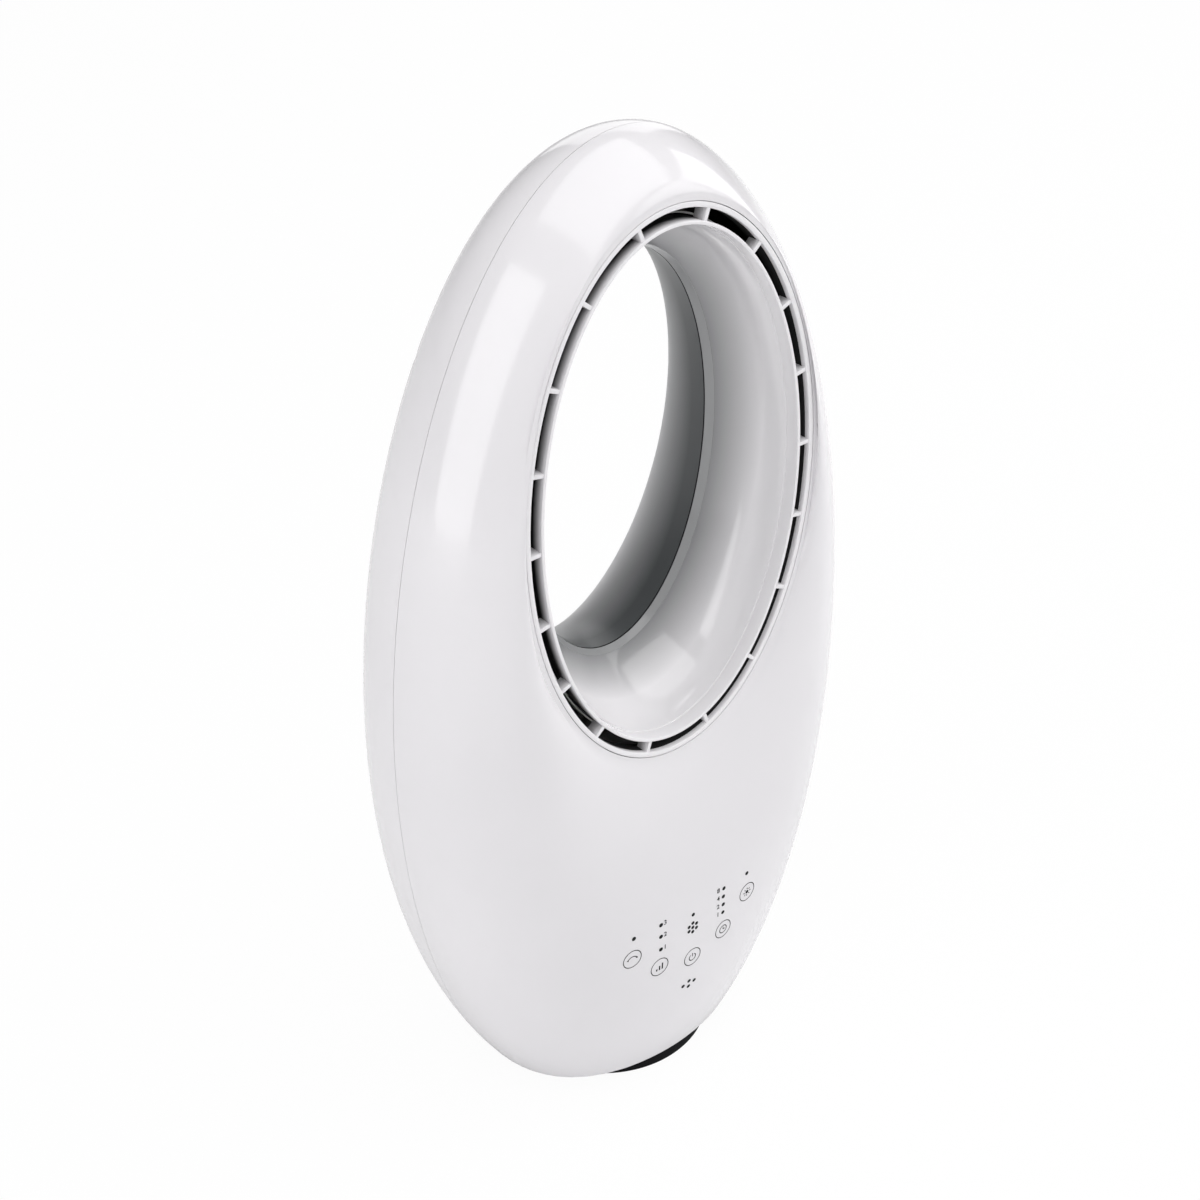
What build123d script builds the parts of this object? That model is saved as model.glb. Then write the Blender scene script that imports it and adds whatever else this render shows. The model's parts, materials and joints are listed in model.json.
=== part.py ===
# Bladeless table fan: an egg-shaped body with an elliptical air outlet ring in its upper half,
# a centrifugal blower in its lower half, and a round foot on which the body swings.
# Millimetres, +Z up, front towards -Y, origin on the floor at the swing axis.
import os
from math import acos, atan2, cos, degrees, pi, radians, sin, sqrt

from build123d import *

os.makedirs("parts", exist_ok=True)

# ---------------------------------------------------------------- body, as driving dimensions
body_top = 540.0
body_half_height = 292.7  # ellipse on the parting plane Y = 0, cut off at body_bottom
body_half_width = 137.7
body_bottom = 8.5
shell_wall = 2.5
parting_gap = 0.3
shell_stations = 9  # cross-sections in each half of the body

front_crown = 14.0  # length over which the top leaves the parting plane square to it
front_belly = 100.0  # the same at the bottom, which makes the belly under the ring
front_belly_rise = (21.8, 55.9)  # how the belly runs up into the ring: forwards, downwards
front_top_fall = 9.3
front_cheek = 85.8  # pull of the side towards the ring's half width

rear_crown = 14.0
rear_belly = 93.0
rear_belly_rise = 90.0
rear_top_fall = 13.3
rear_cheek = 109.7

# Rear rim, where the outer skin rolls into the rear duct
rim_top = (34.3, 514.8)  # Y, Z
rim_bottom = (66.3, 208.5)
rim_half_width = 89.1
rim_land = 0.8

# ---------------------------------------------------------------- outlet ring and tunnel
ring_centre = (-47.2, 368.4)  # Y, Z
ring_lean = 3.7
slit_half_width = 85.9  # ellipse along the middle of the air slit
slit_half_height = 140.8
slit_width = 6.0
outer_band = 2.8
lip_band = 2.0
band_depth = 10.0
lip_depth = 8.0
ring_land = 3.0  # flat of the front shell around the ring
ring_flange = 2.4
ring_flange_thickness = 2.0
ring_fit = 0.15
rib_count = 18
rib_thickness = 2.2
rib_depth = 7.5
rib_recess = 0.5
rib_root = 0.6

funnel_wall = 2.2
funnel_step = 0.5  # step between the lip and the funnel
funnel_entry = 17.0
funnel_exit = (7.0, 7.0)  # how the funnel runs into its band: forwards, outwards
band_centre_z = 369.3
band_half_width = 63.3
band_half_height = 114.5
band_length = 4.0
throat_half_width = 60.1
throat_half_height = 112.3
duct_seal_thickness = 0.8
duct_seal_recess = 0.5
duct_entry = 42.8
duct_flare = 0.8
duct_roll = (9.3, 17.1, 7.9)  # how the duct rolls over the rim: top, bottom, side

collar_length = 12.0
strip_thickness = 0.8
strip_width = 7.0
strip_fit = 0.15

# ---------------------------------------------------------------- blower
blower_z = 124.0
impeller_radius = 60.0
impeller_inner_radius = 49.0
impeller_front = -24.0  # Y of the back plate's front face
impeller_rear = 27.0
impeller_plate = 1.6
shroud_width = 2.0
blade_count = 36
blade_thickness = 1.0
blade_lean = 38.0
hub_radius = 10.0
hub_length = 26.0
scroll_start_radius = 68.0
scroll_step = 6.0  # the scroll grows by this much each quarter turn
scroll_front = -28.0
scroll_rear = 32.0
housing_wall = 2.2
inlet_radius = 47.0
inlet_lip_length = 6.0
outlet_top = 197.5
outlet_left = 22.0  # X of the cut-off wall
ear_radius = 6.0
ear_reach = 4.0
ear_thickness = 4.0

motor_radius = 27.0
motor_length = 23.0
motor_wall = 1.2
motor_cap_thickness = 2.0
shaft_radius = 3.0
shaft_tip = 8.0  # Y
shaft_fit = 0.03
bearing_radius = 8.0
bearing_width = 4.0
rotor_radius = 10.5
rotor_length = 10.0
air_gap = 0.6
stator_slots = 6
mount_thickness = 2.0
mount_radius = 16.0
mount_arm_width = 10.0
mount_hole_radius = 38.0
grommet_radius = 4.5
grommet_height = 4.0
nut_thickness = 4.0
nut_across = 8.0  # between opposite corners
hub_cone_radius = 34.0
hub_cone_length = 17.0
blade_stations = 5
blade_end_clearance = 0.2
front_bearing_y = -58.0
rear_bearing_y = -42.2
pocket_wall = 1.5
stator_front_y = -53.2
stator_outer = 25.7
stator_back_wall = 5.0
stator_tooth_width = 5.0
coil_width = 9.0
coil_overhang = 2.0
coil_inner = 12.6
passage_radius = 5.0  # of the shaft through sheet and wall
mount_first_arm = 90.0

# ---------------------------------------------------------------- partition, intake
chamber_floor_z = 199.5
chamber_floor_thickness = 2.5
gasket_width = 4.0
inner_fit = 0.35

grille_radius = 62.0
grille_fit = 0.25
grille_open_radius = 57.0
grille_rim = 2.0
grille_slot = 3.4
grille_pitch = 6.4
grille_stays = (-29.0, 0.0, 29.0)
grille_stay_width = 2.6
grille_rows = 17
filter_radius = 61.4
filter_front = 54.5  # Y
filter_thickness = 5.0
filter_fit = 0.3
collar_wall = 2.0
ledge_width = 4.0

# ---------------------------------------------------------------- foot and turret
foot_radius = 61.0
foot_clearance = 1.2
foot_top = 7.5
foot_wall = 2.2
foot_edge = 1.6
turret_radius = 16.0
turret_top = 17.0
turret_bore = 5.0
glide_inner = 40.0
glide_outer = 48.0
glide_groove = 0.8
glide_height = 2.4
floor_gap = 0.2
head_floor_thickness = 3.0
bush_wall = 3.0
bush_flange = 7.0
bush_flange_thickness = 1.5
turret_fit = 0.05
bush_fit = 0.02
hold_down_gap = 0.3
floor_boss_wall = 4.5
plate_thickness = 1.2
feet_count = 5
feet_pitch_radius = 50.0
feet_radius = 6.0
weight_inner = 20.0
weight_outer = 43.0
weight_thickness = 2.6
foot_screw_radius = 1.5
foot_boss_radius = 3.2

gear_module = 1.0
gear_teeth = 48
pinion_teeth = 18
gear_width = 4.5
gear_backlash = 0.12
addendum = 0.9
dedendum = 1.2
pressure_angle = 20.0
gear_screw_pitch_radius = 11.0
screw_radius = 1.5
screw_head_radius = 2.8
screw_head_height = 1.8
screw_clearance = 0.15
foot_screw_head_height = 0.8
floor_screw_length = 7.5
board_screw_length = 4.6
shell_screw_length = 14.0
housing_screw_length = 13.0
swing_screw_length = 8.0
gear_screw_length = 11.0
pilot_fit = 0.05

swing_motor_radius = 14.0
swing_motor_height = 17.0
swing_motor_offset = 8.0  # its shaft stands this far off the can's middle
swing_shaft_radius = 2.5
swing_shaft_depth = 5.0
swing_ear_reach = 17.5
swing_ear_radius = 3.5
swing_ear_thickness = 1.0
swing_motor_z = 24.0
pinion_gap = 0.3
swing_boss_radius = 4.5
swing_boss_height = 1.7

# ---------------------------------------------------------------- electronics
board_thickness = 1.6
panel_board = (96.0, 62.0)
panel_board_centre_z = 101.0
panel_board_y = -66.0  # its front face
panel_posts = ((44.0, 76.0), (31.0, 127.5))  # X, Z of the right-hand pair
post_radius = 3.0
panel_pilot_depth = 3.5
key_positions = ((0.0, 90.0), (23.2, 95.5), (41.7, 112.0))  # X, Z of the right-hand keys
key_foam_radius = 5.0
led_size = (3.0, 1.2, 2.0)
led_left = ((-22.6, 107.0), (-22.6, 115.5), (-22.6, 124.0), (-40.6, 124.5))
led_right = ((22.6, 107.7), (22.6, 113.3), (22.6, 118.9), (22.6, 124.5), (40.6, 124.5))
buzzer_radius = 6.0
buzzer_height = 3.0
buzzer_place = (0.0, 108.0)
receiver_size = (6.0, 3.0, 6.0)
receiver_place = (0.0, 119.5)

power_board = (34.0, 50.0)
power_board_centre_x = -48.0
power_board_z = 18.0
power_posts = (13.0, 21.0)
power_post_radius = 2.5
choke_size = (16.0, 18.0, 13.0)
capacitor_radius = 5.0
capacitor_height = 14.0
choke_y = -9.0
capacitor_y = 9.0
capacitor_reach = 7.0

inlet_z = 34.0
socket_radius = 4.2
socket_bezel_radius = 6.5
socket_bezel_thickness = 1.2
socket_bore_radius = 2.8
socket_depth = 10.0
socket_pin_radius = 1.0
socket_length = 14.0
inlet_skin_y = 66.3  # where the rear skin stands at the height of the inlet

well_places = ((66.0, 46.0), (113.0, 214.0), (90.5, 440.0))  # X, Z of the right-hand wells
well_radius = 5.6
well_bore = 4.0
well_floor_y = 4.0
boss_length = 12.0

# ================================================================ shapes shared by several pieces
body_centre_z = body_top - body_half_height
body_foot_z = body_centre_z - body_half_height
far = 400.0
overrun = 5.0  # how far a cutting form runs past the face that it opens

lean = radians(ring_lean)
ring_up = Vector(0, sin(lean), cos(lean))
ring_back = Vector(0, cos(lean), -sin(lean))
ring_plane = Plane(origin=(0, *ring_centre), x_dir=(1, 0, 0), z_dir=-ring_back)

ring_outer = (slit_half_width + slit_width / 2 + outer_band, slit_half_height + slit_width / 2 + outer_band)
slit_outer = (slit_half_width + slit_width / 2, slit_half_height + slit_width / 2)
slit_inner = (slit_half_width - slit_width / 2, slit_half_height - slit_width / 2)
lip_inner = (slit_inner[0] - lip_band, slit_inner[1] - lip_band)
land = (ring_outer[0] + ring_land, ring_outer[1] + ring_land)


def across(y):
    """Upright plane at a given depth, with local x and y along X and Z, facing the front."""
    return Plane.XZ.offset(-y)


def bezier(points, t):
    """Point or number at t on a cubic curve with four control values."""
    a, b, c, d = points
    return a * (1 - t) ** 3 + b * (3 * t * (1 - t) ** 2) + c * (3 * t * t * (1 - t)) + d * t**3


def section_plane(top, bottom):
    """Plane through two points of the middle section, square to the YZ plane and facing forwards."""
    up = (top - bottom).normalized()
    return Plane(origin=(top + bottom) / 2, x_dir=(1, 0, 0), z_dir=(0, -up.Z, up.Y))


def body_form(top_curve, bottom_curve, width_curve):
    """Solid through ellipses that follow a top line, a bottom line and a half width."""
    with BuildPart() as form:
        for step in range(shell_stations):
            t = step / (shell_stations - 1)
            top = bezier(top_curve, t)
            bottom = bezier(bottom_curve, t)
            with BuildSketch(section_plane(top, bottom)):
                Ellipse(bezier(width_curve, t), (top - bottom).length / 2)
        loft()
    return form.part


def front_form(inset=0.0):
    """Front half of the body, from the parting plane to the flat around the ring."""
    crown = Vector(0, 0, body_top - inset)
    heel = Vector(0, 0, body_foot_z + inset)
    middle = Vector(0, *ring_centre) + ring_back * inset
    ring_top = middle + ring_up * land[1]
    ring_bottom = middle - ring_up * land[1]
    forwards, downwards = front_belly_rise
    return body_form(
        (crown, crown - Vector(0, front_crown, 0), ring_top + Vector(0, 0, front_top_fall - inset / 2), ring_top),
        (
            heel,
            heel - Vector(0, front_belly - inset, 0),
            ring_bottom - Vector(0, forwards, downwards),
            ring_bottom,
        ),
        (body_half_width - inset, body_half_width - inset, front_cheek, land[0]),
    )


def rear_form(inset=0.0):
    """Rear half of the body, from the parting plane to the rim of the rear duct."""
    crown = Vector(0, 0, body_top - inset)
    heel = Vector(0, 0, body_foot_z + inset)
    top = Vector(0, *rim_top)
    bottom = Vector(0, *rim_bottom)
    up = (top - bottom).normalized()
    back = Vector(0, up.Z, -up.Y)
    rim_top_point = top + up * rim_land - back * inset
    rim_bottom_point = bottom - up * rim_land - back * inset
    return body_form(
        (
            crown,
            crown + Vector(0, rear_crown, 0),
            rim_top_point + Vector(0, 0, rear_top_fall - inset / 2),
            rim_top_point,
        ),
        (
            heel,
            heel + Vector(0, rear_belly - inset, 0),
            rim_bottom_point - Vector(0, 0, rear_belly_rise),
            rim_bottom_point,
        ),
        (body_half_width - inset, body_half_width - inset, rear_cheek, rim_half_width + rim_land),
    )


duct_front_y = duct_seal_thickness / 2
throat_top = band_centre_z + throat_half_height
throat_bottom = band_centre_z - throat_half_height


def duct_form(outset=0.0):
    """Space inside the rear duct, or with an outset the outside of its wall, run out past the rim."""
    top = Vector(0, *rim_top)
    bottom = Vector(0, *rim_bottom)
    up = (top - bottom).normalized()
    back = Vector(0, up.Z, -up.Y)
    rim_top_point = top - up * rim_land - back * outset
    rim_bottom_point = bottom + up * rim_land - back * outset
    start_top = Vector(0, duct_front_y, throat_top + outset)
    start_bottom = Vector(0, duct_front_y, throat_bottom - outset)
    roll_top, roll_bottom, roll_side = duct_roll
    entry = Vector(0, duct_entry - outset, 0)
    with BuildPart() as form:
        add(
            body_form(
                (start_top, start_top + entry, rim_top_point - Vector(0, 0, roll_top), rim_top_point),
                (
                    start_bottom,
                    start_bottom + entry,
                    rim_bottom_point + Vector(0, 0, roll_bottom),
                    rim_bottom_point,
                ),
                (
                    throat_half_width + outset,
                    throat_half_width + duct_flare + outset,
                    rim_half_width - rim_land - roll_side + outset,
                    rim_half_width - rim_land,
                ),
            )
        )
        with BuildSketch(section_plane(rim_top_point, rim_bottom_point)):
            Ellipse(rim_half_width - rim_land, (rim_top_point - rim_bottom_point).length / 2)
        extrude(amount=-overrun)
        if outset == 0:
            with BuildSketch(across(duct_front_y)):
                with Locations((0, band_centre_z)):
                    Ellipse(throat_half_width, throat_half_height)
            extrude(amount=overrun)
    return form.part


funnel_front = ring_plane.offset(-lip_depth)
funnel_end_y = -duct_seal_thickness / 2 - band_length


def funnel_form(outset=0.0):
    """Space inside the funnel, or with an outset the outside of its wall."""
    start = Vector(0, *ring_centre) + ring_back * lip_depth
    half_height = lip_inner[1] - funnel_step + outset
    start_top = start + ring_up * half_height
    start_bottom = start - ring_up * half_height
    end_top = Vector(0, funnel_end_y, band_centre_z + band_half_height + outset)
    end_bottom = Vector(0, funnel_end_y, band_centre_z - band_half_height - outset)
    entry = ring_back * funnel_entry
    forwards, outwards = funnel_exit
    return body_form(
        (start_top, start_top + entry, end_top + Vector(0, -forwards, outwards), end_top),
        (start_bottom, start_bottom + entry, end_bottom + Vector(0, -forwards, -outwards), end_bottom),
        (
            lip_inner[0] - funnel_step + outset,
            lip_inner[0] - funnel_step + outset,
            band_half_width + outwards + outset,
            band_half_width + outset,
        ),
    )


def ring_wall(plane, outer, inner, depth):
    """Elliptical ring wall, from its plane towards the back."""
    with BuildPart() as wall:
        with BuildSketch(plane):
            Ellipse(*outer)
            Ellipse(*inner, mode=Mode.SUBTRACT)
        extrude(amount=-depth)
    return wall.part


def both_sides(places):
    """Places given on the right, with their mirror images on the left."""
    mirrored = [(-x, z) for x, z in places if x != 0]
    return list(places) + mirrored


def grown(outline, amount):
    """Half width and half height of an ellipse, made larger all round."""
    return (outline[0] + amount, outline[1] + amount)


front_skin = front_form()
rear_skin = rear_form()
front_cavity = front_form(shell_wall)
rear_cavity = rear_form(shell_wall)
rear_duct_space = duct_form()
rear_duct_outside = duct_form(shell_wall)

with BuildPart() as body_inside:  # what fits inside both shells, clear of them
    add(front_form(shell_wall + inner_fit))
    add(rear_form(shell_wall + inner_fit))

def right_half(form):
    """The part of a form on its +X side."""
    with BuildPart() as half:
        add(form)
        with Locations((0, 0, body_centre_z)):
            Box(far / 2, far, 2 * far, align=(Align.MIN, Align.CENTER, Align.CENTER), mode=Mode.INTERSECT)
    return half.part


well_points = both_sides(well_places)
panel_post_points = both_sides(panel_posts)

with BuildPart() as trim:  # what the shells lose below the foot line and along the parting line
    with Locations((0, 0, body_bottom)):
        Box(far, far, far / 2, align=(Align.CENTER, Align.CENTER, Align.MAX))
    with Locations((0, 0, body_centre_z)):
        Box(far, parting_gap, 2 * far)


def blower_plane(y):
    """The same, centred on the impeller's axis."""
    return Plane(origin=(0, y, blower_z), x_dir=(1, 0, 0), z_dir=(0, -1, 0))


# Four-centre scroll: each quarter turn the centre moves one step and the radius grows by it
scroll_radii = [scroll_start_radius + turn * scroll_step for turn in range(3)]
scroll_centres = [(0, blower_z), (scroll_step, blower_z), (scroll_step, blower_z + scroll_step)]
outlet_right = scroll_centres[2][0] + scroll_radii[2]
tongue_angle = degrees(atan2(sqrt(scroll_start_radius**2 - outlet_left**2), outlet_left))
tongue_z = blower_z + sqrt(scroll_start_radius**2 - outlet_left**2)


def scroll_form(front, rear, grow=0.0):
    """Solid with the scroll's outline between two depths."""
    with BuildPart() as form:
        with BuildSketch(across(rear)):
            with BuildLine():
                CenterArc(scroll_centres[0], scroll_radii[0], tongue_angle, 180 - tongue_angle)
                CenterArc(scroll_centres[1], scroll_radii[1], 180, 90)
                CenterArc(scroll_centres[2], scroll_radii[2], 270, 90)
                Polyline(
                    (outlet_right, scroll_centres[2][1]),
                    (outlet_right, outlet_top),
                    (outlet_left, outlet_top),
                    (outlet_left, tongue_z),
                )
            make_face()
            if grow:
                offset(amount=grow, kind=Kind.INTERSECTION)
                with Locations((0, outlet_top)):
                    Rectangle(far, far, align=(Align.CENTER, Align.MIN), mode=Mode.SUBTRACT)
        extrude(amount=rear - front)
    return form.part


def ear_place(quarter, angle):
    """Centre of a screw ear, just outside the scroll wall."""
    centre_x, centre_z = scroll_centres[quarter]
    reach = scroll_radii[quarter] + housing_wall + ear_reach
    return (centre_x + reach * cos(radians(angle)), centre_z + reach * sin(radians(angle)))


ear_points = [ear_place(0, 158), ear_place(1, 226), ear_place(2, 314)]
housing_rear_face = scroll_rear + housing_wall
housing_front_face = scroll_front - housing_wall
scroll_split = (scroll_front + scroll_rear) / 2

# ================================================================ body shells and tunnel
with BuildPart() as front_posts:
    with BuildSketch(across(panel_board_y)):
        with Locations(*panel_post_points):
            Circle(post_radius)
    extrude(amount=far / 4)
    with BuildSketch(across(0)):
        with Locations(*well_points):
            Circle(well_radius)
    extrude(amount=far / 4)
    add(front_skin, mode=Mode.INTERSECT)

lug_height = 8.0
lug_radius = 5.0
lug_web = 5.0
lug_reach = 20.0
lug_place = (48.0, 40.0)
floor_bottom = foot_top - glide_groove + glide_height + floor_gap
floor_top = floor_bottom + head_floor_thickness
lug_points = [(x * lug_place[0], y * lug_place[1]) for x in (-1, 1) for y in (-1, 1)]


def floor_lugs(skin, side):
    """Lugs above the head floor that take its screws, on one half of the body."""
    with BuildPart() as lugs:
        for x, y in lug_points:
            if y * side > 0:
                outwards = degrees(atan2(y, x))
                with BuildSketch(Plane.XY.offset(floor_top)):
                    with Locations((x, y)):
                        Circle(lug_radius)
                        with Locations(Location((0, 0), outwards)):
                            Rectangle(lug_reach, lug_web, align=(Align.MIN, Align.CENTER))
                extrude(amount=lug_height)
        add(skin, mode=Mode.INTERSECT)
    return lugs.part


partition_lug = (24.0, 12.0, 5.0)
partition_lug_centre_y = 14.0


def partition_lugs(skin, side):
    """Ledges at the sides of one half of the body, under the chamber floor."""
    with BuildPart() as lugs:
        for x in (-body_half_width, body_half_width):
            with Locations((x, side * partition_lug_centre_y, chamber_floor_z)):
                Box(2 * partition_lug[0], *partition_lug[1:], align=(Align.CENTER, Align.CENTER, Align.MAX))
        add(skin, mode=Mode.INTERSECT)
    return lugs.part


with BuildPart() as front_shell:
    add(front_skin)
    add(front_cavity, mode=Mode.SUBTRACT)
    with BuildSketch(ring_plane.offset(shell_wall)):
        Ellipse(*grown(ring_outer, ring_fit))
    extrude(amount=-3 * shell_wall, mode=Mode.SUBTRACT)
    add(front_posts.part)
    add(floor_lugs(front_skin, -1))
    add(partition_lugs(front_skin, -1))
    with BuildSketch(across(0)):
        with Locations(*well_points):
            Circle(screw_radius + pilot_fit)
    extrude(amount=boss_length, mode=Mode.SUBTRACT)
    with BuildSketch(across(panel_board_y)):
        with Locations(*panel_post_points):
            Circle(screw_radius + pilot_fit)
    extrude(amount=panel_pilot_depth, mode=Mode.SUBTRACT)
    with BuildSketch(Plane.XY.offset(floor_top)):
        with Locations(*lug_points):
            Circle(screw_radius + pilot_fit)
    extrude(amount=lug_height - 1, mode=Mode.SUBTRACT)
    add(trim.part, mode=Mode.SUBTRACT)
front_shell.part.label = "front_shell"
export_step(front_shell.part, "parts/front_shell.step")

with BuildPart() as rear_fittings:  # screw wells, housing posts, and the collar round the intake
    with BuildSketch(across(0)):
        with Locations(*well_points):
            Circle(well_radius)
    extrude(amount=-far / 4)
    with BuildSketch(across(housing_rear_face)):
        with Locations(*ear_points):
            Circle(post_radius + 1)
    extrude(amount=-far / 4)
    with BuildSketch(blower_plane(filter_front)):
        Circle(grille_radius + grille_fit + collar_wall)
        Circle(filter_radius + filter_fit, mode=Mode.SUBTRACT)
    extrude(amount=-far / 4)
    with BuildSketch(blower_plane(filter_front - collar_wall)):
        Circle(grille_radius + grille_fit + collar_wall)
        Circle(filter_radius - ledge_width, mode=Mode.SUBTRACT)
    extrude(amount=-collar_wall)
    add(rear_skin, mode=Mode.INTERSECT)

with BuildPart() as rear_hollow:  # between the outer wall and the duct wall, right half
    add(right_half(rear_cavity))
    add(right_half(rear_duct_outside), mode=Mode.SUBTRACT)

with BuildPart() as rear_wall:  # outer wall and duct wall in one, joined at the rim
    add(right_half(rear_skin))
    add(rear_hollow.part, mode=Mode.SUBTRACT)
    add(right_half(rear_duct_space), mode=Mode.SUBTRACT)
    mirror(about=Plane.YZ)

with BuildPart() as rear_shell:
    add(rear_wall.part)
    add(rear_fittings.part)
    with BuildSketch(blower_plane(filter_front + filter_thickness)):
        Circle(grille_radius + grille_fit)
    extrude(amount=-far / 4, mode=Mode.SUBTRACT)
    add(floor_lugs(rear_skin, 1))
    add(partition_lugs(rear_skin, 1))
    with BuildSketch(across(well_floor_y)):
        with Locations(*well_points):
            Circle(well_bore)
    extrude(amount=-far / 4, mode=Mode.SUBTRACT)
    with BuildSketch(across(0)):
        with Locations(*well_points):
            Circle(screw_radius + pilot_fit)
    extrude(amount=-well_floor_y, mode=Mode.SUBTRACT)
    with BuildSketch(across(housing_rear_face)):
        with Locations(*ear_points):
            Circle(screw_radius + pilot_fit)
    extrude(amount=-boss_length, mode=Mode.SUBTRACT)
    with BuildSketch(across(housing_rear_face)):
        with Locations((0, inlet_z)):
            Circle(socket_radius + grille_fit)
    extrude(amount=-far / 4, mode=Mode.SUBTRACT)
    with BuildSketch(Plane.XY.offset(floor_top)):
        with Locations(*lug_points):
            Circle(screw_radius + pilot_fit)
    extrude(amount=lug_height - 1, mode=Mode.SUBTRACT)
    add(trim.part, mode=Mode.SUBTRACT)
rear_shell.part.label = "rear_shell"
export_step(rear_shell.part, "parts/rear_shell.step")

rib_path = Edge.make_ellipse(slit_half_width, slit_half_height)

with BuildPart() as outlet_ring:
    add(ring_wall(ring_plane, ring_outer, slit_outer, band_depth))
    add(ring_wall(ring_plane, slit_inner, lip_inner, lip_depth))
    add(ring_wall(ring_plane.offset(-shell_wall), grown(ring_outer, ring_flange), slit_outer, ring_flange_thickness))
    with BuildSketch(ring_plane.offset(-rib_recess)):
        for rib in range(rib_count):
            # counted along the ellipse from its widest point, with no rib at the top or the bottom
            along = ((rib + (rib_count / 4) % 1 + 0.5) / rib_count) % 1
            point = rib_path.position_at(along)
            tangent = rib_path.tangent_at(along)
            with Locations(Location((point.X, point.Y), degrees(atan2(tangent.Y, tangent.X)))):
                Rectangle(rib_thickness, slit_width + 2 * rib_root)
    extrude(amount=-rib_depth)
outlet_ring.part.label = "outlet_ring"
export_step(outlet_ring.part, "parts/outlet_ring.step")


def band_form(outset):
    """Short cone at the narrow end of the funnel."""
    with BuildPart() as band:
        with BuildSketch(across(funnel_end_y)):
            with Locations((0, band_centre_z)):
                Ellipse(band_half_width + outset, band_half_height + outset)
        with BuildSketch(across(-duct_seal_thickness / 2)):
            with Locations((0, band_centre_z)):
                Ellipse(throat_half_width + outset, throat_half_height + outset)
        loft(ruled=True)
    return band.part


with BuildPart() as nozzle_funnel:
    add(funnel_form(funnel_wall))
    add(band_form(funnel_wall))
    with BuildSketch(funnel_front):
        Ellipse(*slit_inner)
    extrude(amount=-collar_length)
    add(funnel_form(), mode=Mode.SUBTRACT)
    add(band_form(0), mode=Mode.SUBTRACT)
nozzle_funnel.part.label = "nozzle_funnel"
export_step(nozzle_funnel.part, "parts/nozzle_funnel.step")

with BuildPart() as duct_seal:
    with BuildSketch(across(duct_seal_thickness / 2)):
        with Locations((0, band_centre_z)):
            Ellipse(throat_half_width + funnel_wall, throat_half_height + funnel_wall)
            Ellipse(
                throat_half_width + duct_seal_recess,
                throat_half_height + duct_seal_recess,
                mode=Mode.SUBTRACT,
            )
    extrude(amount=duct_seal_thickness)
duct_seal.part.label = "duct_seal"
export_step(duct_seal.part, "parts/duct_seal.step")

with BuildPart() as light_strip:
    strip_inner = grown(slit_inner, strip_fit)
    strip_front = funnel_front.offset(-(collar_length - strip_width))
    add(ring_wall(strip_front, grown(strip_inner, strip_thickness), strip_inner, strip_width))
light_strip.part.label = "light_strip"
export_step(light_strip.part, "parts/light_strip.step")

with BuildPart() as grille_hollow:
    with BuildSketch(blower_plane(0)):
        Circle(grille_radius - grille_rim)
    extrude(amount=-far / 4)
    add(rear_cavity, mode=Mode.INTERSECT)

with BuildPart() as intake_grille:
    with BuildSketch(blower_plane(filter_front + filter_thickness)):
        Circle(grille_radius)
    extrude(amount=-far / 4)
    add(rear_skin, mode=Mode.INTERSECT)
    add(grille_hollow.part, mode=Mode.SUBTRACT)
    with BuildSketch(blower_plane(0)):
        with GridLocations(far, grille_pitch, 1, grille_rows):
            Rectangle(2 * grille_open_radius, grille_slot)
        Circle(grille_open_radius, mode=Mode.INTERSECT)
        with Locations(*[(x, 0) for x in grille_stays]):
            Rectangle(grille_stay_width, far, mode=Mode.SUBTRACT)
    extrude(amount=-far / 4, mode=Mode.SUBTRACT)
intake_grille.part.label = "intake_grille"
export_step(intake_grille.part, "parts/intake_grille.step")

with BuildPart() as dust_filter:
    with BuildSketch(blower_plane(filter_front)):
        Circle(filter_radius)
    extrude(amount=-filter_thickness)
dust_filter.part.label = "dust_filter"
export_step(dust_filter.part, "parts/dust_filter.step")


def screw(place, length, head_radius=screw_head_radius, head_height=screw_head_height):
    """Pan-head screw with its head standing on a plane and its shank going in behind it."""
    with BuildPart() as one:
        with BuildSketch(place):
            Circle(head_radius)
        extrude(amount=head_height)
        with BuildSketch(place):
            Circle(screw_radius)
        extrude(amount=-length)
    return one.part


# ================================================================ foot, glide and head floor
inside_top = foot_top - foot_wall
hub_outer = turret_radius + foot_wall
gear_screw_angles = [turn * 120 for turn in range(3)]
feet_angles = [90 + turn * 360 / feet_count for turn in range(feet_count)]
foot_screw_angles = [angle + 180 / feet_count for angle in feet_angles]
foot_screw_points = [
    (feet_pitch_radius * cos(radians(angle)), feet_pitch_radius * sin(radians(angle)))
    for angle in foot_screw_angles
]
plate_top = foot_clearance + plate_thickness

with BuildPart() as foot_body:
    with BuildSketch(Plane.XY.offset(foot_clearance)):
        Circle(foot_radius)
    extrude(amount=foot_top - foot_clearance)
    fillet(foot_body.faces().sort_by(Axis.Z)[-1].edges(), foot_edge)

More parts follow.
